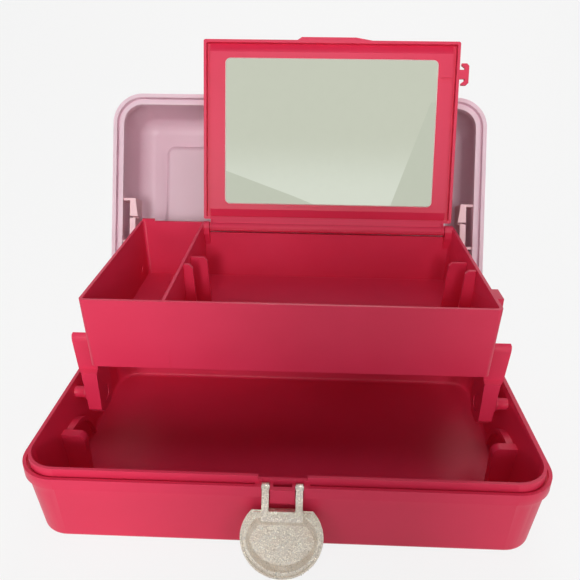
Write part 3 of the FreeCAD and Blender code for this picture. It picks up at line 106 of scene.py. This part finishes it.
def add(tree, kind, settings=None, **inputs):
    """Adds a node. inputs fill its sockets, by name or as i0, i1, with a value or a link."""
    node = tree.nodes.new(kind)
    for key, value in (settings or {}).items():
        setattr(node, key, value)
    for key, value in inputs.items():
        by_number = key[0] == "i" and key[1:].isdigit()
        socket = node.inputs[int(key[1:])] if by_number else node.inputs[key.replace("_", " ")]
        if isinstance(value, bpy.types.NodeSocket):
            tree.links.new(value, socket)
        else:
            socket.default_value = value
    return node


def new_material(name):
    """A material and its node tree, with nothing in it."""
    made = bpy.data.materials.new(name)
    made.use_nodes = True
    made.node_tree.nodes.clear()
    return made, made.node_tree


def per_metre(millimetres):
    """Scale of a pattern whose cells are this many millimetres wide."""
    return 1000 / millimetres


print("hot pink is", [round(c, 3) for c in linear("#E6365C")[:3]], "in linear light")

# %% [markdown]
# ## Moulded polypropylene
# The case's parts are polypropylene from a spark-eroded mould, so their skin has a fine,
# even grain that breaks a highlight into a satin bloom. A picture of a skin could be
# wrapped round them, but it would stretch over the ribs. Noise in the part's own
# coordinates has no seams: a fine layer is the grain, and a broad one is the slight
# unevenness of a panel that shrank as it cooled.
# Where that broad layer sinks, the colour is a little deeper: painted shade.

# %% Polypropylene in four shades
GRAIN_MM = 0.7             # the real grain is 0.1 mm, which would be too fine to show
GRAIN_DETAIL = 2.0
GRAIN_DEEP = 0.00004
SWELL_MM = 40.0
SWELL_DETAIL = 3.0
SWELL_DEEP = 0.0004
SWELL_STRENGTH = 0.35
GLOSS_SPREAD = 0.05
PLASTIC_IOR = 1.49


def moulded(name, colour, deep, roughness, grain, specular=0.5):
    """Satin polypropylene: colour where a panel swells, and deep where it sinks, as painted
    shade.
    """
    made, tree = new_material(name)
    place = add(tree, "ShaderNodeTexCoord").outputs["Object"]
    fine = add(tree, "ShaderNodeTexNoise", Vector=place, Scale=per_metre(GRAIN_MM),
               Detail=GRAIN_DETAIL)
    broad = add(tree, "ShaderNodeTexNoise", Vector=place, Scale=per_metre(SWELL_MM),
                Detail=SWELL_DETAIL)
    # Painted shade: the colour deepens where the broad noise, and so the panel, sinks.
    tint = add(tree, "ShaderNodeMixRGB", Fac=broad.outputs[0], Color1=linear(deep),
               Color2=linear(colour))
    gloss = add(tree, "ShaderNodeMapRange", Value=broad.outputs[0],
                To_Min=roughness - GLOSS_SPREAD, To_Max=roughness + GLOSS_SPREAD)
    skin = add(tree, "ShaderNodeBump", Strength=grain, Distance=GRAIN_DEEP,
               Height=fine.outputs[0])
    wave = add(tree, "ShaderNodeBump", Strength=SWELL_STRENGTH, Distance=SWELL_DEEP,
               Height=broad.outputs[0], Normal=skin.outputs[0])
    shader = add(tree, "ShaderNodeBsdfPrincipled", Base_Color=tint.outputs[0],
                 Roughness=gloss.outputs[0], Normal=wave.outputs[0], IOR=PLASTIC_IOR,
                 Specular_IOR_Level=specular)
    add(tree, "ShaderNodeOutputMaterial", Surface=shader.outputs[0])
    return made


pink_plastic = moulded("hot_pink_polypropylene", "#E6365C", "#DC2D50", roughness=0.42,
                       grain=0.5, specular=0.34)
pale_plastic = moulded("pale_pink_polypropylene", "#F0D2DD", "#EACAD6", roughness=0.38,
                       grain=0.35, specular=0.4)
bracket_plastic = moulded("bracket_polypropylene", "#FBD3D8", "#F7C9D0", roughness=0.36,
                          grain=0.25)
handle_plastic = moulded("handle_polypropylene", "#E6365C", "#DC2D50", roughness=0.32,
                         grain=0.25)
print("moulded plastics:", [m.name for m in bpy.data.materials if "propylene" in m.name])

# %% [markdown]
# ## Mirror glass
# The mirror is float glass, silvered on its back. Real glass with a metal sheet behind
# it would show two reflections and much noise, so one metallic skin stands for both.
# Float glass is never quite flat and never quite clean: a broad noise bends it by a
# hair, and a finer one is the film that fingers leave.

# %% Silvered glass
FLOAT_WAVE_MM = 45.0
FLOAT_WAVE_DEEP = 0.00001
FLOAT_WAVE_STRENGTH = 0.2
FILM_MM = 9.0
FILM_DETAIL = 4.0
FILM_FROM = 0.5            # only the upper half of the noise blurs the mirror
FILM_BLUR = 0.03

silver, tree = new_material("silvered_float_glass")
place = add(tree, "ShaderNodeTexCoord").outputs["Object"]
broad = add(tree, "ShaderNodeTexNoise", Vector=place, Scale=per_metre(FLOAT_WAVE_MM))
film = add(tree, "ShaderNodeTexNoise", Vector=place, Scale=per_metre(FILM_MM),
           Detail=FILM_DETAIL)
tint = add(tree, "ShaderNodeMixRGB", Fac=film.outputs[0], Color1=linear("#F1F3EF"),
           Color2=linear("#EEF0EC"))
blur = add(tree, "ShaderNodeMapRange", Value=film.outputs[0], From_Min=FILM_FROM,
           To_Max=FILM_BLUR)
bend = add(tree, "ShaderNodeBump", Strength=FLOAT_WAVE_STRENGTH, Distance=FLOAT_WAVE_DEEP,
           Height=broad.outputs[0])
shader = add(tree, "ShaderNodeBsdfPrincipled", Base_Color=tint.outputs[0],
             Roughness=blur.outputs[0], Normal=bend.outputs[0], Metallic=1.0)
add(tree, "ShaderNodeOutputMaterial", Surface=shader.outputs[0])
print("mirror:", silver.name)

# %% [markdown]
# ## Ground edge of the glass
# The mirror's edge is cut with a grinding wheel, which leaves it matt and pale. The
# silver doesn't reach it. A fine noise is the grit of the wheel.

# %% Ground glass
GRIT_MM = 0.5              # the wheel's grit is 0.05 mm, drawn coarser so that it shows
GRIT_DETAIL = 3.0
GRIT_DEEP = 0.00002
GRIT_STRENGTH = 0.4
GROUND_ROUGH = 0.45

ground_edge, tree = new_material("ground_glass")
place = add(tree, "ShaderNodeTexCoord").outputs["Object"]
grit = add(tree, "ShaderNodeTexNoise", Vector=place, Scale=per_metre(GRIT_MM),
           Detail=GRIT_DETAIL)
tint = add(tree, "ShaderNodeMixRGB", Fac=grit.outputs[0], Color1=linear("#F6E6E2"),
           Color2=linear("#F2EDE6"))
rub = add(tree, "ShaderNodeBump", Strength=GRIT_STRENGTH, Distance=GRIT_DEEP,
          Height=grit.outputs[0])
shader = add(tree, "ShaderNodeBsdfPrincipled", Base_Color=tint.outputs[0],
             Normal=rub.outputs[0], Roughness=GROUND_ROUGH)
add(tree, "ShaderNodeOutputMaterial", Surface=shader.outputs[0])
print("edge:", ground_edge.name)

# %% [markdown]
# ## Drawn steel wire
# The hinge pins are cut from drawn wire. The die leaves lines along it, so the noise is
# squeezed with a Mapping node until it runs in streaks along the pins.

# %% Steel
DRAW_MM = 0.25
DRAW_STRETCH = 0.03        # along the wire the lines are this much of their usual rate
DRAW_DEEP = 0.00001
DRAW_STRENGTH = 0.4
STEEL_SMOOTHEST = 0.22
STEEL_ROUGHEST = 0.38

steel, tree = new_material("drawn_steel_wire")
place = add(tree, "ShaderNodeTexCoord").outputs["Object"]
along = add(tree, "ShaderNodeMapping", Vector=place, Scale=(DRAW_STRETCH, 1.0, 1.0))
lines = add(tree, "ShaderNodeTexNoise", Vector=along.outputs[0], Scale=per_metre(DRAW_MM))
tint = add(tree, "ShaderNodeMixRGB", Fac=lines.outputs[0], Color1=linear("#B4B4B2"),
           Color2=linear("#D2D2D0"))
rough = add(tree, "ShaderNodeMapRange", Value=lines.outputs[0], To_Min=STEEL_SMOOTHEST,
            To_Max=STEEL_ROUGHEST)
die = add(tree, "ShaderNodeBump", Strength=DRAW_STRENGTH, Distance=DRAW_DEEP,
          Height=lines.outputs[0])
shader = add(tree, "ShaderNodeBsdfPrincipled", Base_Color=tint.outputs[0],
             Roughness=rough.outputs[0], Normal=die.outputs[0], Metallic=1.0)
add(tree, "ShaderNodeOutputMaterial", Surface=shader.outputs[0])
print("pins:", steel.name)

# %% [markdown]
# ## Foam tape
# The mirror sits on white foam tape, whose cut edge shows the cells of the foam. The
# distance to the middle of a Voronoi cell makes each cell a small pit.
# Each pit is also darker towards its middle: painted shade.

# %% Foam
CELL_MM = 0.6
CELL_DEEP = 0.00015
CELL_STRENGTH = 0.6
FOAM_ROUGH = 0.9

foam, tree = new_material("white_foam_tape")
place = add(tree, "ShaderNodeTexCoord").outputs["Object"]
cells = add(tree, "ShaderNodeTexVoronoi", Vector=place, Scale=per_metre(CELL_MM))
# Painted shade: the colour is darker towards each pit's middle.
tint = add(tree, "ShaderNodeMixRGB", Fac=cells.outputs["Distance"], Color1=linear("#C9C9C0"),
           Color2=linear("#E6E6DE"))
pores = add(tree, "ShaderNodeBump", Strength=CELL_STRENGTH, Distance=CELL_DEEP,
            Height=cells.outputs["Distance"])
shader = add(tree, "ShaderNodeBsdfPrincipled", Base_Color=tint.outputs[0],
             Normal=pores.outputs[0], Roughness=FOAM_ROUGH)
add(tree, "ShaderNodeOutputMaterial", Surface=shader.outputs[0])
print("tape:", foam.name)

# %% [markdown]
# ## Clear polycarbonate with glitter
# The latch is clear polycarbonate, moulded with silver glitter and a little pearl in it.
# So much is in it that it looks like milky glass. It still lets some light through, and
# its surface has the gloss of clear plastic, as a coat over the milk. The specks are
# flakes deep in the wall, some lying flat and light, some edge on and dark. They stop
# the light, so each speck is also less clear than the milk round it. Voronoi cells, each
# with its own random colour, tell which speck is which.
# The dark of the edge-on flakes is painted shade; the light flakes are metal and reflect for
# real.

# %% Specks deep in the latch
SPECK_MM = 0.32
LIGHT_SPECKS = 0.82        # a Voronoi cell over this is light
DARK_SPECKS = 0.95         # and one over this in its other channel is dark, as painted shade

glitter, tree = new_material("glitter_polycarbonate")
place = add(tree, "ShaderNodeTexCoord").outputs["Object"]
specks = add(tree, "ShaderNodeTexVoronoi", Vector=place, Scale=per_metre(SPECK_MM))
shades = add(tree, "ShaderNodeSeparateColor", Color=specks.outputs["Color"])
light = add(tree, "ShaderNodeMath", {"operation": "GREATER_THAN"}, i0=shades.outputs[0],
            i1=LIGHT_SPECKS)
# A dark speck is painted shade: a flake edge on, which catches no light.
dark = add(tree, "ShaderNodeMath", {"operation": "GREATER_THAN"}, i0=shades.outputs[1],
           i1=DARK_SPECKS)
either = add(tree, "ShaderNodeMath", {"operation": "MAXIMUM"}, i0=light.outputs[0],
             i1=dark.outputs[0])
print("light and dark specks:", round(1 - LIGHT_SPECKS, 2), round(1 - DARK_SPECKS, 2))

# %% [markdown]
# ### The milk round them
# The pearl lies in soft clouds, as the melt carried it into the mould, and the skin is a
# little wavy where the melt flowed. The milk, the dark specks of painted shade and the
# light ones are mixed one over the other.

# %% Milky body of the latch
CLOUD_MM = 7.0
SKIN_MM = 9.0
SKIN_DEEP = 0.00010
SKIN_STRENGTH = 0.5
CLEAR_MILK = 0.20
CLEAR_SPECK = 0.10
CLEAR_COAT = 0.8
LATCH_SMOOTHEST = 0.10
LATCH_ROUGHEST = 0.24
LATCH_IOR = 1.58

cloud = add(tree, "ShaderNodeTexNoise", Vector=place, Scale=per_metre(CLOUD_MM))
milk = add(tree, "ShaderNodeMixRGB", Fac=cloud.outputs[0], Color1=linear("#FBE6D2"),
           Color2=linear("#FFFAF0"))
# Painted shade: the dark specks take a darker colour over the milk.
darker = add(tree, "ShaderNodeMixRGB", Fac=dark.outputs[0], Color1=milk.outputs[0],
             Color2=linear("#B5A48A"))
tint = add(tree, "ShaderNodeMixRGB", Fac=light.outputs[0], Color1=darker.outputs[0],
           Color2=linear("#FFF8EA"))
clear = add(tree, "ShaderNodeMapRange", Value=either.outputs[0], To_Min=CLEAR_MILK,
            To_Max=CLEAR_SPECK)
gleam = add(tree, "ShaderNodeMapRange", Value=cloud.outputs[0], To_Min=LATCH_SMOOTHEST,
            To_Max=LATCH_ROUGHEST)
skin = add(tree, "ShaderNodeTexNoise", Vector=place, Scale=per_metre(SKIN_MM))
flow = add(tree, "ShaderNodeBump", Strength=SKIN_STRENGTH, Distance=SKIN_DEEP,
           Height=skin.outputs[0])
shader = add(tree, "ShaderNodeBsdfPrincipled", Base_Color=tint.outputs[0],
             Transmission_Weight=clear.outputs[0], Metallic=light.outputs[0],
             Roughness=gleam.outputs[0], Normal=flow.outputs[0], IOR=LATCH_IOR,
             Coat_Weight=CLEAR_COAT)
add(tree, "ShaderNodeOutputMaterial", Surface=shader.outputs[0])
print("latch:", glitter.name)

# %% [markdown]
# ## Metallised film of the flakes
# Glitter is cut from polyester film with aluminium on it. No two flakes have quite the
# same gloss, so a noise a little coarser than a flake changes the shade and roughness.

# %% Film
FLAKE_SHADE_MM = 1.4
FLAKE_SMOOTHEST = 0.12
FLAKE_ROUGHEST = 0.32

film_flake, tree = new_material("metallised_film")
place = add(tree, "ShaderNodeTexCoord").outputs["Object"]
shade = add(tree, "ShaderNodeTexNoise", Vector=place, Scale=per_metre(FLAKE_SHADE_MM))
tint = add(tree, "ShaderNodeMixRGB", Fac=shade.outputs[0], Color1=linear("#B9B5AC"),
           Color2=linear("#F7F5F0"))
rough = add(tree, "ShaderNodeMapRange", Value=shade.outputs[0], To_Min=FLAKE_SMOOTHEST,
            To_Max=FLAKE_ROUGHEST)
shader = add(tree, "ShaderNodeBsdfPrincipled", Base_Color=tint.outputs[0],
             Roughness=rough.outputs[0], Metallic=1.0)
add(tree, "ShaderNodeOutputMaterial", Surface=shader.outputs[0])
print("flakes:", film_flake.name)

# %% [markdown]
# ## Each part gets its material
# A list under each material is easier to check than a material beside each part.

# %% Materials on the frame's parts
FINISHES = {
    pink_plastic: ("base_tub", "tray_shell", "mirror_lid", "arm_left", "arm_right",
                   "arm_stud_left", "arm_stud_right", "arm_top_stud_left",
                   "arm_top_stud_right", "tray_stud_left", "tray_stud_right"),
    pale_plastic: ("lid_shell",),
    bracket_plastic: ("lid_bracket_left", "lid_bracket_right"),
    handle_plastic: ("carry_handle",),
    silver: ("mirror_glass",),
    foam: ("mirror_tape",),
    glitter: ("latch_flap",),
    steel: ("hinge_pin_left", "hinge_pin_right", "mirror_pin_left", "mirror_pin_right",
            "handle_pin_left", "handle_pin_right", "latch_pins"),
}
for finish, names in FINISHES.items():
    for name in names:
        mesh = nodes[name].data
        mesh.materials.clear()
        mesh.materials.append(finish)
    print(finish.name, "on", len(names), "parts")

# %% [markdown]
# ## Softened edges
# A mould never leaves a knife edge, and a fine line of light runs along each rim. The
# bevel could be in the solids, but it would make them heavy. Here three modifiers do it:
# Weld joins the loose triangles, a planar Decimate makes whole faces of them again, and
# a narrow Bevel rounds the edges that are left.

# %% Soft edges
EDGE_MM = {"base_tub": 0.5, "tray_shell": 0.45, "mirror_lid": 0.4, "lid_shell": 0.5,
           "arm_left": 0.6, "arm_right": 0.6, "lid_bracket_left": 0.5,
           "lid_bracket_right": 0.5, "carry_handle": 0.5, "latch_flap": 0.5,
           "mirror_glass": 0.7}
EDGE_SEGMENTS = 2
WELD_GAP = 0.00001
FLAT_WITHIN = math.radians(0.6)
SHARP_FROM = math.radians(32)


def soften(part, millimetres):
    """Weld, planar decimate and bevel, as live modifiers."""
    weld = part.modifiers.new("weld", "WELD")
    weld.merge_threshold = WELD_GAP
    flat = part.modifiers.new("flat", "DECIMATE")
    flat.decimate_type = "DISSOLVE"
    flat.angle_limit = FLAT_WITHIN
    soft = part.modifiers.new("soft", "BEVEL")
    soft.width = millimetres / 1000
    soft.segments = EDGE_SEGMENTS
    soft.limit_method = "ANGLE"
    soft.angle_limit = SHARP_FROM


for name, width in EDGE_MM.items():
    soften(nodes[name], width)
print("softened parts:", len(EDGE_MM))

# %% [markdown]
# ## Facet of the mirror
# The mirror's bevel is one flat facet, as the grinding wheel leaves it, so its bevel has
# one segment. The ground glass goes into a material slot of its own, after the silver.

# %% Ground facet of the mirror
FACET_SLOT = 1
nodes["mirror_glass"].data.materials.append(ground_edge)
facet = nodes["mirror_glass"].modifiers["soft"]
facet.material = FACET_SLOT
facet.segments = 1
print("facet:", round(facet.width * 1000, 2), "mm")

# %% [markdown]
# ## Glitter flakes
# The specks in the material give the latch its depth, but only real flakes catch the
# light one by one as the latch turns. Each is a thin hexagon of film in the skin of the
# latch. A particle system could scatter them, but its copies would be lost outside
# Blender. So points are drawn over the latch's triangles, more on large ones, and a
# small cone with two equal ends, which is a prism, is made at each and tipped a little.

# %% Points on the latch
FLAKES = 520
DRAW_SEED = 11
draw = random.Random(DRAW_SEED)


def skin_points(mesh, count):
    """Points on a mesh's triangles with their normals, more on larger triangles."""
    mesh.calc_loop_triangles()
    triangles = list(mesh.loop_triangles)
    for chosen in draw.choices(triangles, weights=[t.area for t in triangles], k=count):
        a, b, c = (mesh.vertices[i].co for i in chosen.vertices)
        u, v = draw.random(), draw.random()
        if u + v > 1:
            u, v = 1 - u, 1 - v
        yield a + u * (b - a) + v * (c - a), chosen.normal.copy()


print("points to draw:", FLAKES)

# %% [markdown]
# ### Where a flake may lie
# Near the pins the latch turns inside the base, and its back lies close to the base, so
# flakes there would scrape along it. The draws are made for them too, so that the other
# flakes stay where they are when this limit is changed.

# %% Flakes in the skin of the latch
FLAKE_R = 0.00034
FLAKE_THICK = 0.00005
FLAKE_SUNK = 0.00001       # the flake's middle is this far under the skin
FLAKE_TIP = math.radians(9)
FLAKE_SIDES = 6
HINGE_CLEAR = 0.0075       # none this near to the pins
FACING_BASE = 0.25         # none where the skin's normal points back by more than this

low, high = (Vector(corner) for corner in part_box("latch_pins"))
hinge = (low + high) / 2
made = bmesh.new()
for point, normal in skin_points(nodes["latch_flap"].data, FLAKES):
    reach = Vector((0.0, point.y - hinge.y, point.z - hinge.z)).length
    tip = Matrix.Rotation(draw.uniform(-FLAKE_TIP, FLAKE_TIP), 4, "X")
    spin = Matrix.Rotation(draw.uniform(0.0, math.tau), 4, "Z")
    if reach < HINGE_CLEAR or normal.y > FACING_BASE:
        continue
    stand = normal.to_track_quat("Z", "Y").to_matrix().to_4x4()
    at = Matrix.Translation(point - FLAKE_SUNK * normal)
    bmesh.ops.create_cone(made, cap_ends=True, segments=FLAKE_SIDES, radius1=FLAKE_R,
                          radius2=FLAKE_R, depth=FLAKE_THICK, matrix=at @ stand @ tip @ spin)
mesh = bpy.data.meshes.new("glitter_flakes")
made.to_mesh(mesh)
made.free()
mesh.materials.append(film_flake)
flakes = bpy.data.objects.new("glitter_flakes", mesh)
bpy.context.scene.collection.objects.link(flakes)
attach(flakes, "latch")
print("flakes placed:", len(mesh.polygons) // (FLAKE_SIDES + 2))

# %% [markdown]
# ## Things of the studio
# Paper and cards belong to the studio and not to the case. The
# paper also has to know who looks at it: the camera sees it white, also in a mirror or
# through clear plastic, while the case gets back only the light that the lamps give it.

# %% Helpers for the studio
def stage_mesh(name, build, material):
    """An object of the studio, made by a function that fills a bmesh."""
    mesh = bpy.data.meshes.new(name)
    made = bmesh.new()
    build(made)
    made.to_mesh(mesh)
    made.free()
    mesh.materials.append(material)
    thing = bpy.data.objects.new(name, mesh)
    bpy.context.scene.collection.objects.link(thing)
    return thing


def seen_directly(tree):
    """1 for what the camera sees, straight, in a mirror or through clear plastic."""
    rays = add(tree, "ShaderNodeLightPath").outputs
    straight = add(tree, "ShaderNodeMath", {"operation": "MAXIMUM"}, i0=rays["Is Camera Ray"],
                   i1=rays["Is Glossy Ray"])
    return add(tree, "ShaderNodeMath", {"operation": "MAXIMUM"}, i0=straight.outputs[0],
               i1=rays["Is Transmission Ray"]).outputs[0]


print("parts to set the studio round:", len(nodes))

# %% [markdown]
# ## Paper under and behind the case
# A paper sweep is what a studio uses for a plain ground: flat under the case, then
# curving up behind it, so that no line shows. Its profile starts as one vertex: it is
# drawn back, spun through a quarter turn and drawn up, and the whole line is then pulled
# sideways. It lies a little under the case, so that the two never flicker through each
# other.

# %% Shape of the sweep
FLOOR_Z = -0.0003
FLOOR_FRONT = -3.0
FLOOR_BEND = 0.9
FLOOR_TURN_R = 0.8
FLOOR_TURN_STEPS = 10
FLOOR_UP = 3.2
FLOOR_SIDE = 4.0


def draw_on(made, vertex, step):
    """Extrudes one vertex by a step and gives the new one."""
    grown = bmesh.ops.extrude_vert_indiv(made, verts=[vertex])["verts"]
    bmesh.ops.translate(made, vec=step, verts=grown)
    return grown[0]


def sweep(made):
    """The paper: flat, a quarter turn and upright, from one side to the other."""
    start = made.verts.new((-FLOOR_SIDE, FLOOR_FRONT, FLOOR_Z))
    bend = draw_on(made, start, (0.0, FLOOR_BEND - FLOOR_FRONT, 0.0))
    turned = bmesh.ops.spin(made, geom=[bend], axis=(1, 0, 0), angle=math.radians(90),
                            cent=(-FLOOR_SIDE, FLOOR_BEND, FLOOR_Z + FLOOR_TURN_R),
                            steps=FLOOR_TURN_STEPS, use_merge=False)["geom_last"]
    draw_on(made, turned[0], (0.0, 0.0, FLOOR_UP))
    grown = bmesh.ops.extrude_edge_only(made, edges=made.edges[:])["geom"]
    bmesh.ops.translate(made, vec=(2 * FLOOR_SIDE, 0, 0),
                        verts=[v for v in grown if isinstance(v, bmesh.types.BMVert)])
    for face in made.faces:
        face.smooth = True
        if face.normal.y > 0 or face.normal.z < 0:
            face.normal_flip()


print("the paper starts to bend up at y =", FLOOR_BEND)

# %% [markdown]
# ### White that keeps a shadow
# Paper that is only lit comes out darker far from the lamps than near them. So, to the
# camera, most of its look is a plain white that the lamps don't change. The rest is lit
# like any matt paper, and so it keeps the case's shadow.

# %% Seamless paper
PAPER_GLOW = 0.88          # share of the paper's look that doesn't depend on the lamps
PAPER_ROUGH = 0.9

paper, tree = new_material("seamless_paper")
matt = add(tree, "ShaderNodeBsdfPrincipled", Base_Color=linear("#E9E9E8"),
           Roughness=PAPER_ROUGH)
glow = add(tree, "ShaderNodeEmission", Color=linear("#FCFCFC"), Strength=1.0)
share = add(tree, "ShaderNodeMath", {"operation": "MULTIPLY"}, i0=seen_directly(tree),
            i1=PAPER_GLOW)
both = add(tree, "ShaderNodeMixShader", Fac=share.outputs[0], i1=matt.outputs[0],
           i2=glow.outputs[0])
add(tree, "ShaderNodeOutputMaterial", Surface=both.outputs[0])
floor = stage_mesh("floor", sweep, paper)
print("floor faces:", len(floor.data.polygons))

# %% [markdown]
# ## Lamps
# A plastic case is lit softly from the front, where the light also reaches the inside,
# and from high up, for the thin bright lines on its rims. Each lamp is a round softbox,
# placed by its azimuth and elevation as seen from the case, as on a dome. One behind
# and above keeps the outside of the lid from going dull when the case is turned round.

# %% Lamps on a dome
AIM = Vector((0, 0.05, 0.12))
LAMP_FAR = 1.9
# name: azimuth and elevation in degrees, size in metres, watts
LAMPS = {
    "low_left": (-32, 14, 0.6, 3.5),
    "low_right": (34, 13, 0.6, 3.5),
    "front": (-1, 18, 0.4, 15.5),
    "high_front": (0, 35, 0.9, 2.0),
    "top": (0, 80, 0.9, 4.0),
    "back": (172, 48, 0.9, 8.0),
}


def lamp(name, azimuth, elevation, size, watts):
    """A round softbox on the dome, turned to the case."""
    turn, rise = math.radians(azimuth), math.radians(elevation)
    away = Vector((math.sin(turn) * math.cos(rise), -math.cos(turn) * math.cos(rise),
                   math.sin(rise)))
    data = bpy.data.lights.new(name, "AREA")
    data.shape = "DISK"
    data.size = size
    data.energy = watts
    thing = bpy.data.objects.new(name, data)
    thing.location = AIM + LAMP_FAR * away
    thing.rotation_euler = (-away).to_track_quat("-Z", "Y").to_euler()
    bpy.context.scene.collection.objects.link(thing)


for name, setting in LAMPS.items():
    lamp(name, *setting)
print("lamps:", len(LAMPS), "of", sum(s[3] for s in LAMPS.values()), "watts in all")

# %% [markdown]
# ## Air of the room
# Every room returns a little light from all sides. It is weak here, so that the deep
# parts of the case stay dark. What is seen of the room itself, straight or in a
# reflection, is as pale as the paper.

# %% World
ROOM_LIGHT = 0.15
world = bpy.data.worlds.new("studio")
bpy.context.scene.world = world
world.use_nodes = True
tree = world.node_tree
tree.nodes.clear()
room = add(tree, "ShaderNodeBackground", Color=linear("#F4F5F2"), Strength=ROOM_LIGHT)
wall = add(tree, "ShaderNodeBackground", Color=linear("#F2F2F2"), Strength=1.0)
both = add(tree, "ShaderNodeMixShader", Fac=seen_directly(tree), i1=room.outputs[0],
           i2=wall.outputs[0])
add(tree, "ShaderNodeOutputWorld", Surface=both.outputs[0])
bpy.context.scene.view_settings.view_transform = "Standard"
print("room light:", ROOM_LIGHT)

# %% [markdown]
# ## Glow of the cards
# The mirror leans back, so it shows the upper wall and the ceiling of the room in front
# of the case. A whole room could be built, but flat cards are enough. They glow at their
# own colour, so that no lamp has to light them. The ceiling's glow pales towards the wall,
# as painted light of the room, and the smooth step over its height hides where that starts.

# %% Ceiling glow with painted light, and wall paint
PALE_UP_TO = 0.62          # heights on the card, in metres
DEEP_FROM = 0.90

ceiling_glow, tree = new_material("ceiling_glow")
place = add(tree, "ShaderNodeTexCoord").outputs["Object"]
apart = add(tree, "ShaderNodeSeparateXYZ", Vector=place)
# Painted light: the ceiling card glows paler low down, towards the wall.
height = add(tree, "ShaderNodeMapRange", {"interpolation_type": "SMOOTHERSTEP"},
             Value=apart.outputs["Z"], From_Min=PALE_UP_TO, From_Max=DEEP_FROM)
tint = add(tree, "ShaderNodeMixRGB", Fac=height.outputs[0], Color1=linear("#E3E7DC"),
           Color2=linear("#D3D6C8"))
glow = add(tree, "ShaderNodeEmission", Color=tint.outputs[0], Strength=1.0)
add(tree, "ShaderNodeOutputMaterial", Surface=glow.outputs[0])

wall_paint, tree = new_material("wall_paint")
glow = add(tree, "ShaderNodeEmission", Color=linear("#CDD1C3"), Strength=1.0)
add(tree, "ShaderNodeOutputMaterial", Surface=glow.outputs[0])
print("paints:", ceiling_glow.name, "and", wall_paint.name)

# %% [markdown]
# ## What the mirror shows, and a flag
# Three cards are seen only by reflections: the ceiling, and a slanting wall on each side
# of it, a little nearer to the case. The fourth, a flag, is the other way round: like a
# black card beside a lens, it only casts a soft shadow, on the middle of the tray's front.

# %% Cards
CARD_Y = -1.45
WALL_Y = CARD_Y + 0.01
CARD_SIDE = 1.6
CARD_FOOT = 0.25
CARD_TOP = 1.9
RIGHT_WALL = [(0.15, CARD_FOOT), (CARD_SIDE, CARD_FOOT), (CARD_SIDE, 0.99), (0.426, 0.99)]
LEFT_WALL = [(-CARD_SIDE, CARD_FOOT), (0.9, CARD_FOOT), (-0.052, 0.638), (-CARD_SIDE, 1.206)]
FLAG_Y = -0.50
FLAG_SIDES = (-0.04, 0.09)
FLAG_HEIGHTS = (0.02, 0.34)


def upright(sides, heights):
    """Corners of an upright rectangle, as x and z."""
    (left, right), (foot, top) = sides, heights
    return [(left, foot), (right, foot), (right, top), (left, top)]


def card(name, corners, material, y, casts):
    """A card in front of the case, which either casts a shadow or is seen in the mirror."""
    def build(made):
        made.faces.new([made.verts.new((x, y, z)) for x, z in corners])
    thing = stage_mesh(name, build, material)
    thing.visible_camera = False
    thing.visible_diffuse = False
    thing.visible_transmission = False
    thing.visible_shadow = casts
    thing.visible_glossy = not casts


card("flag", upright(FLAG_SIDES, FLAG_HEIGHTS), wall_paint, FLAG_Y, casts=True)
card("ceiling_card", upright((-CARD_SIDE, CARD_SIDE), (CARD_FOOT, CARD_TOP)), ceiling_glow,
     CARD_Y, casts=False)
card("wall_card_right", RIGHT_WALL, wall_paint, WALL_Y, casts=False)
card("wall_card_left", LEFT_WALL, wall_paint, WALL_Y, casts=False)
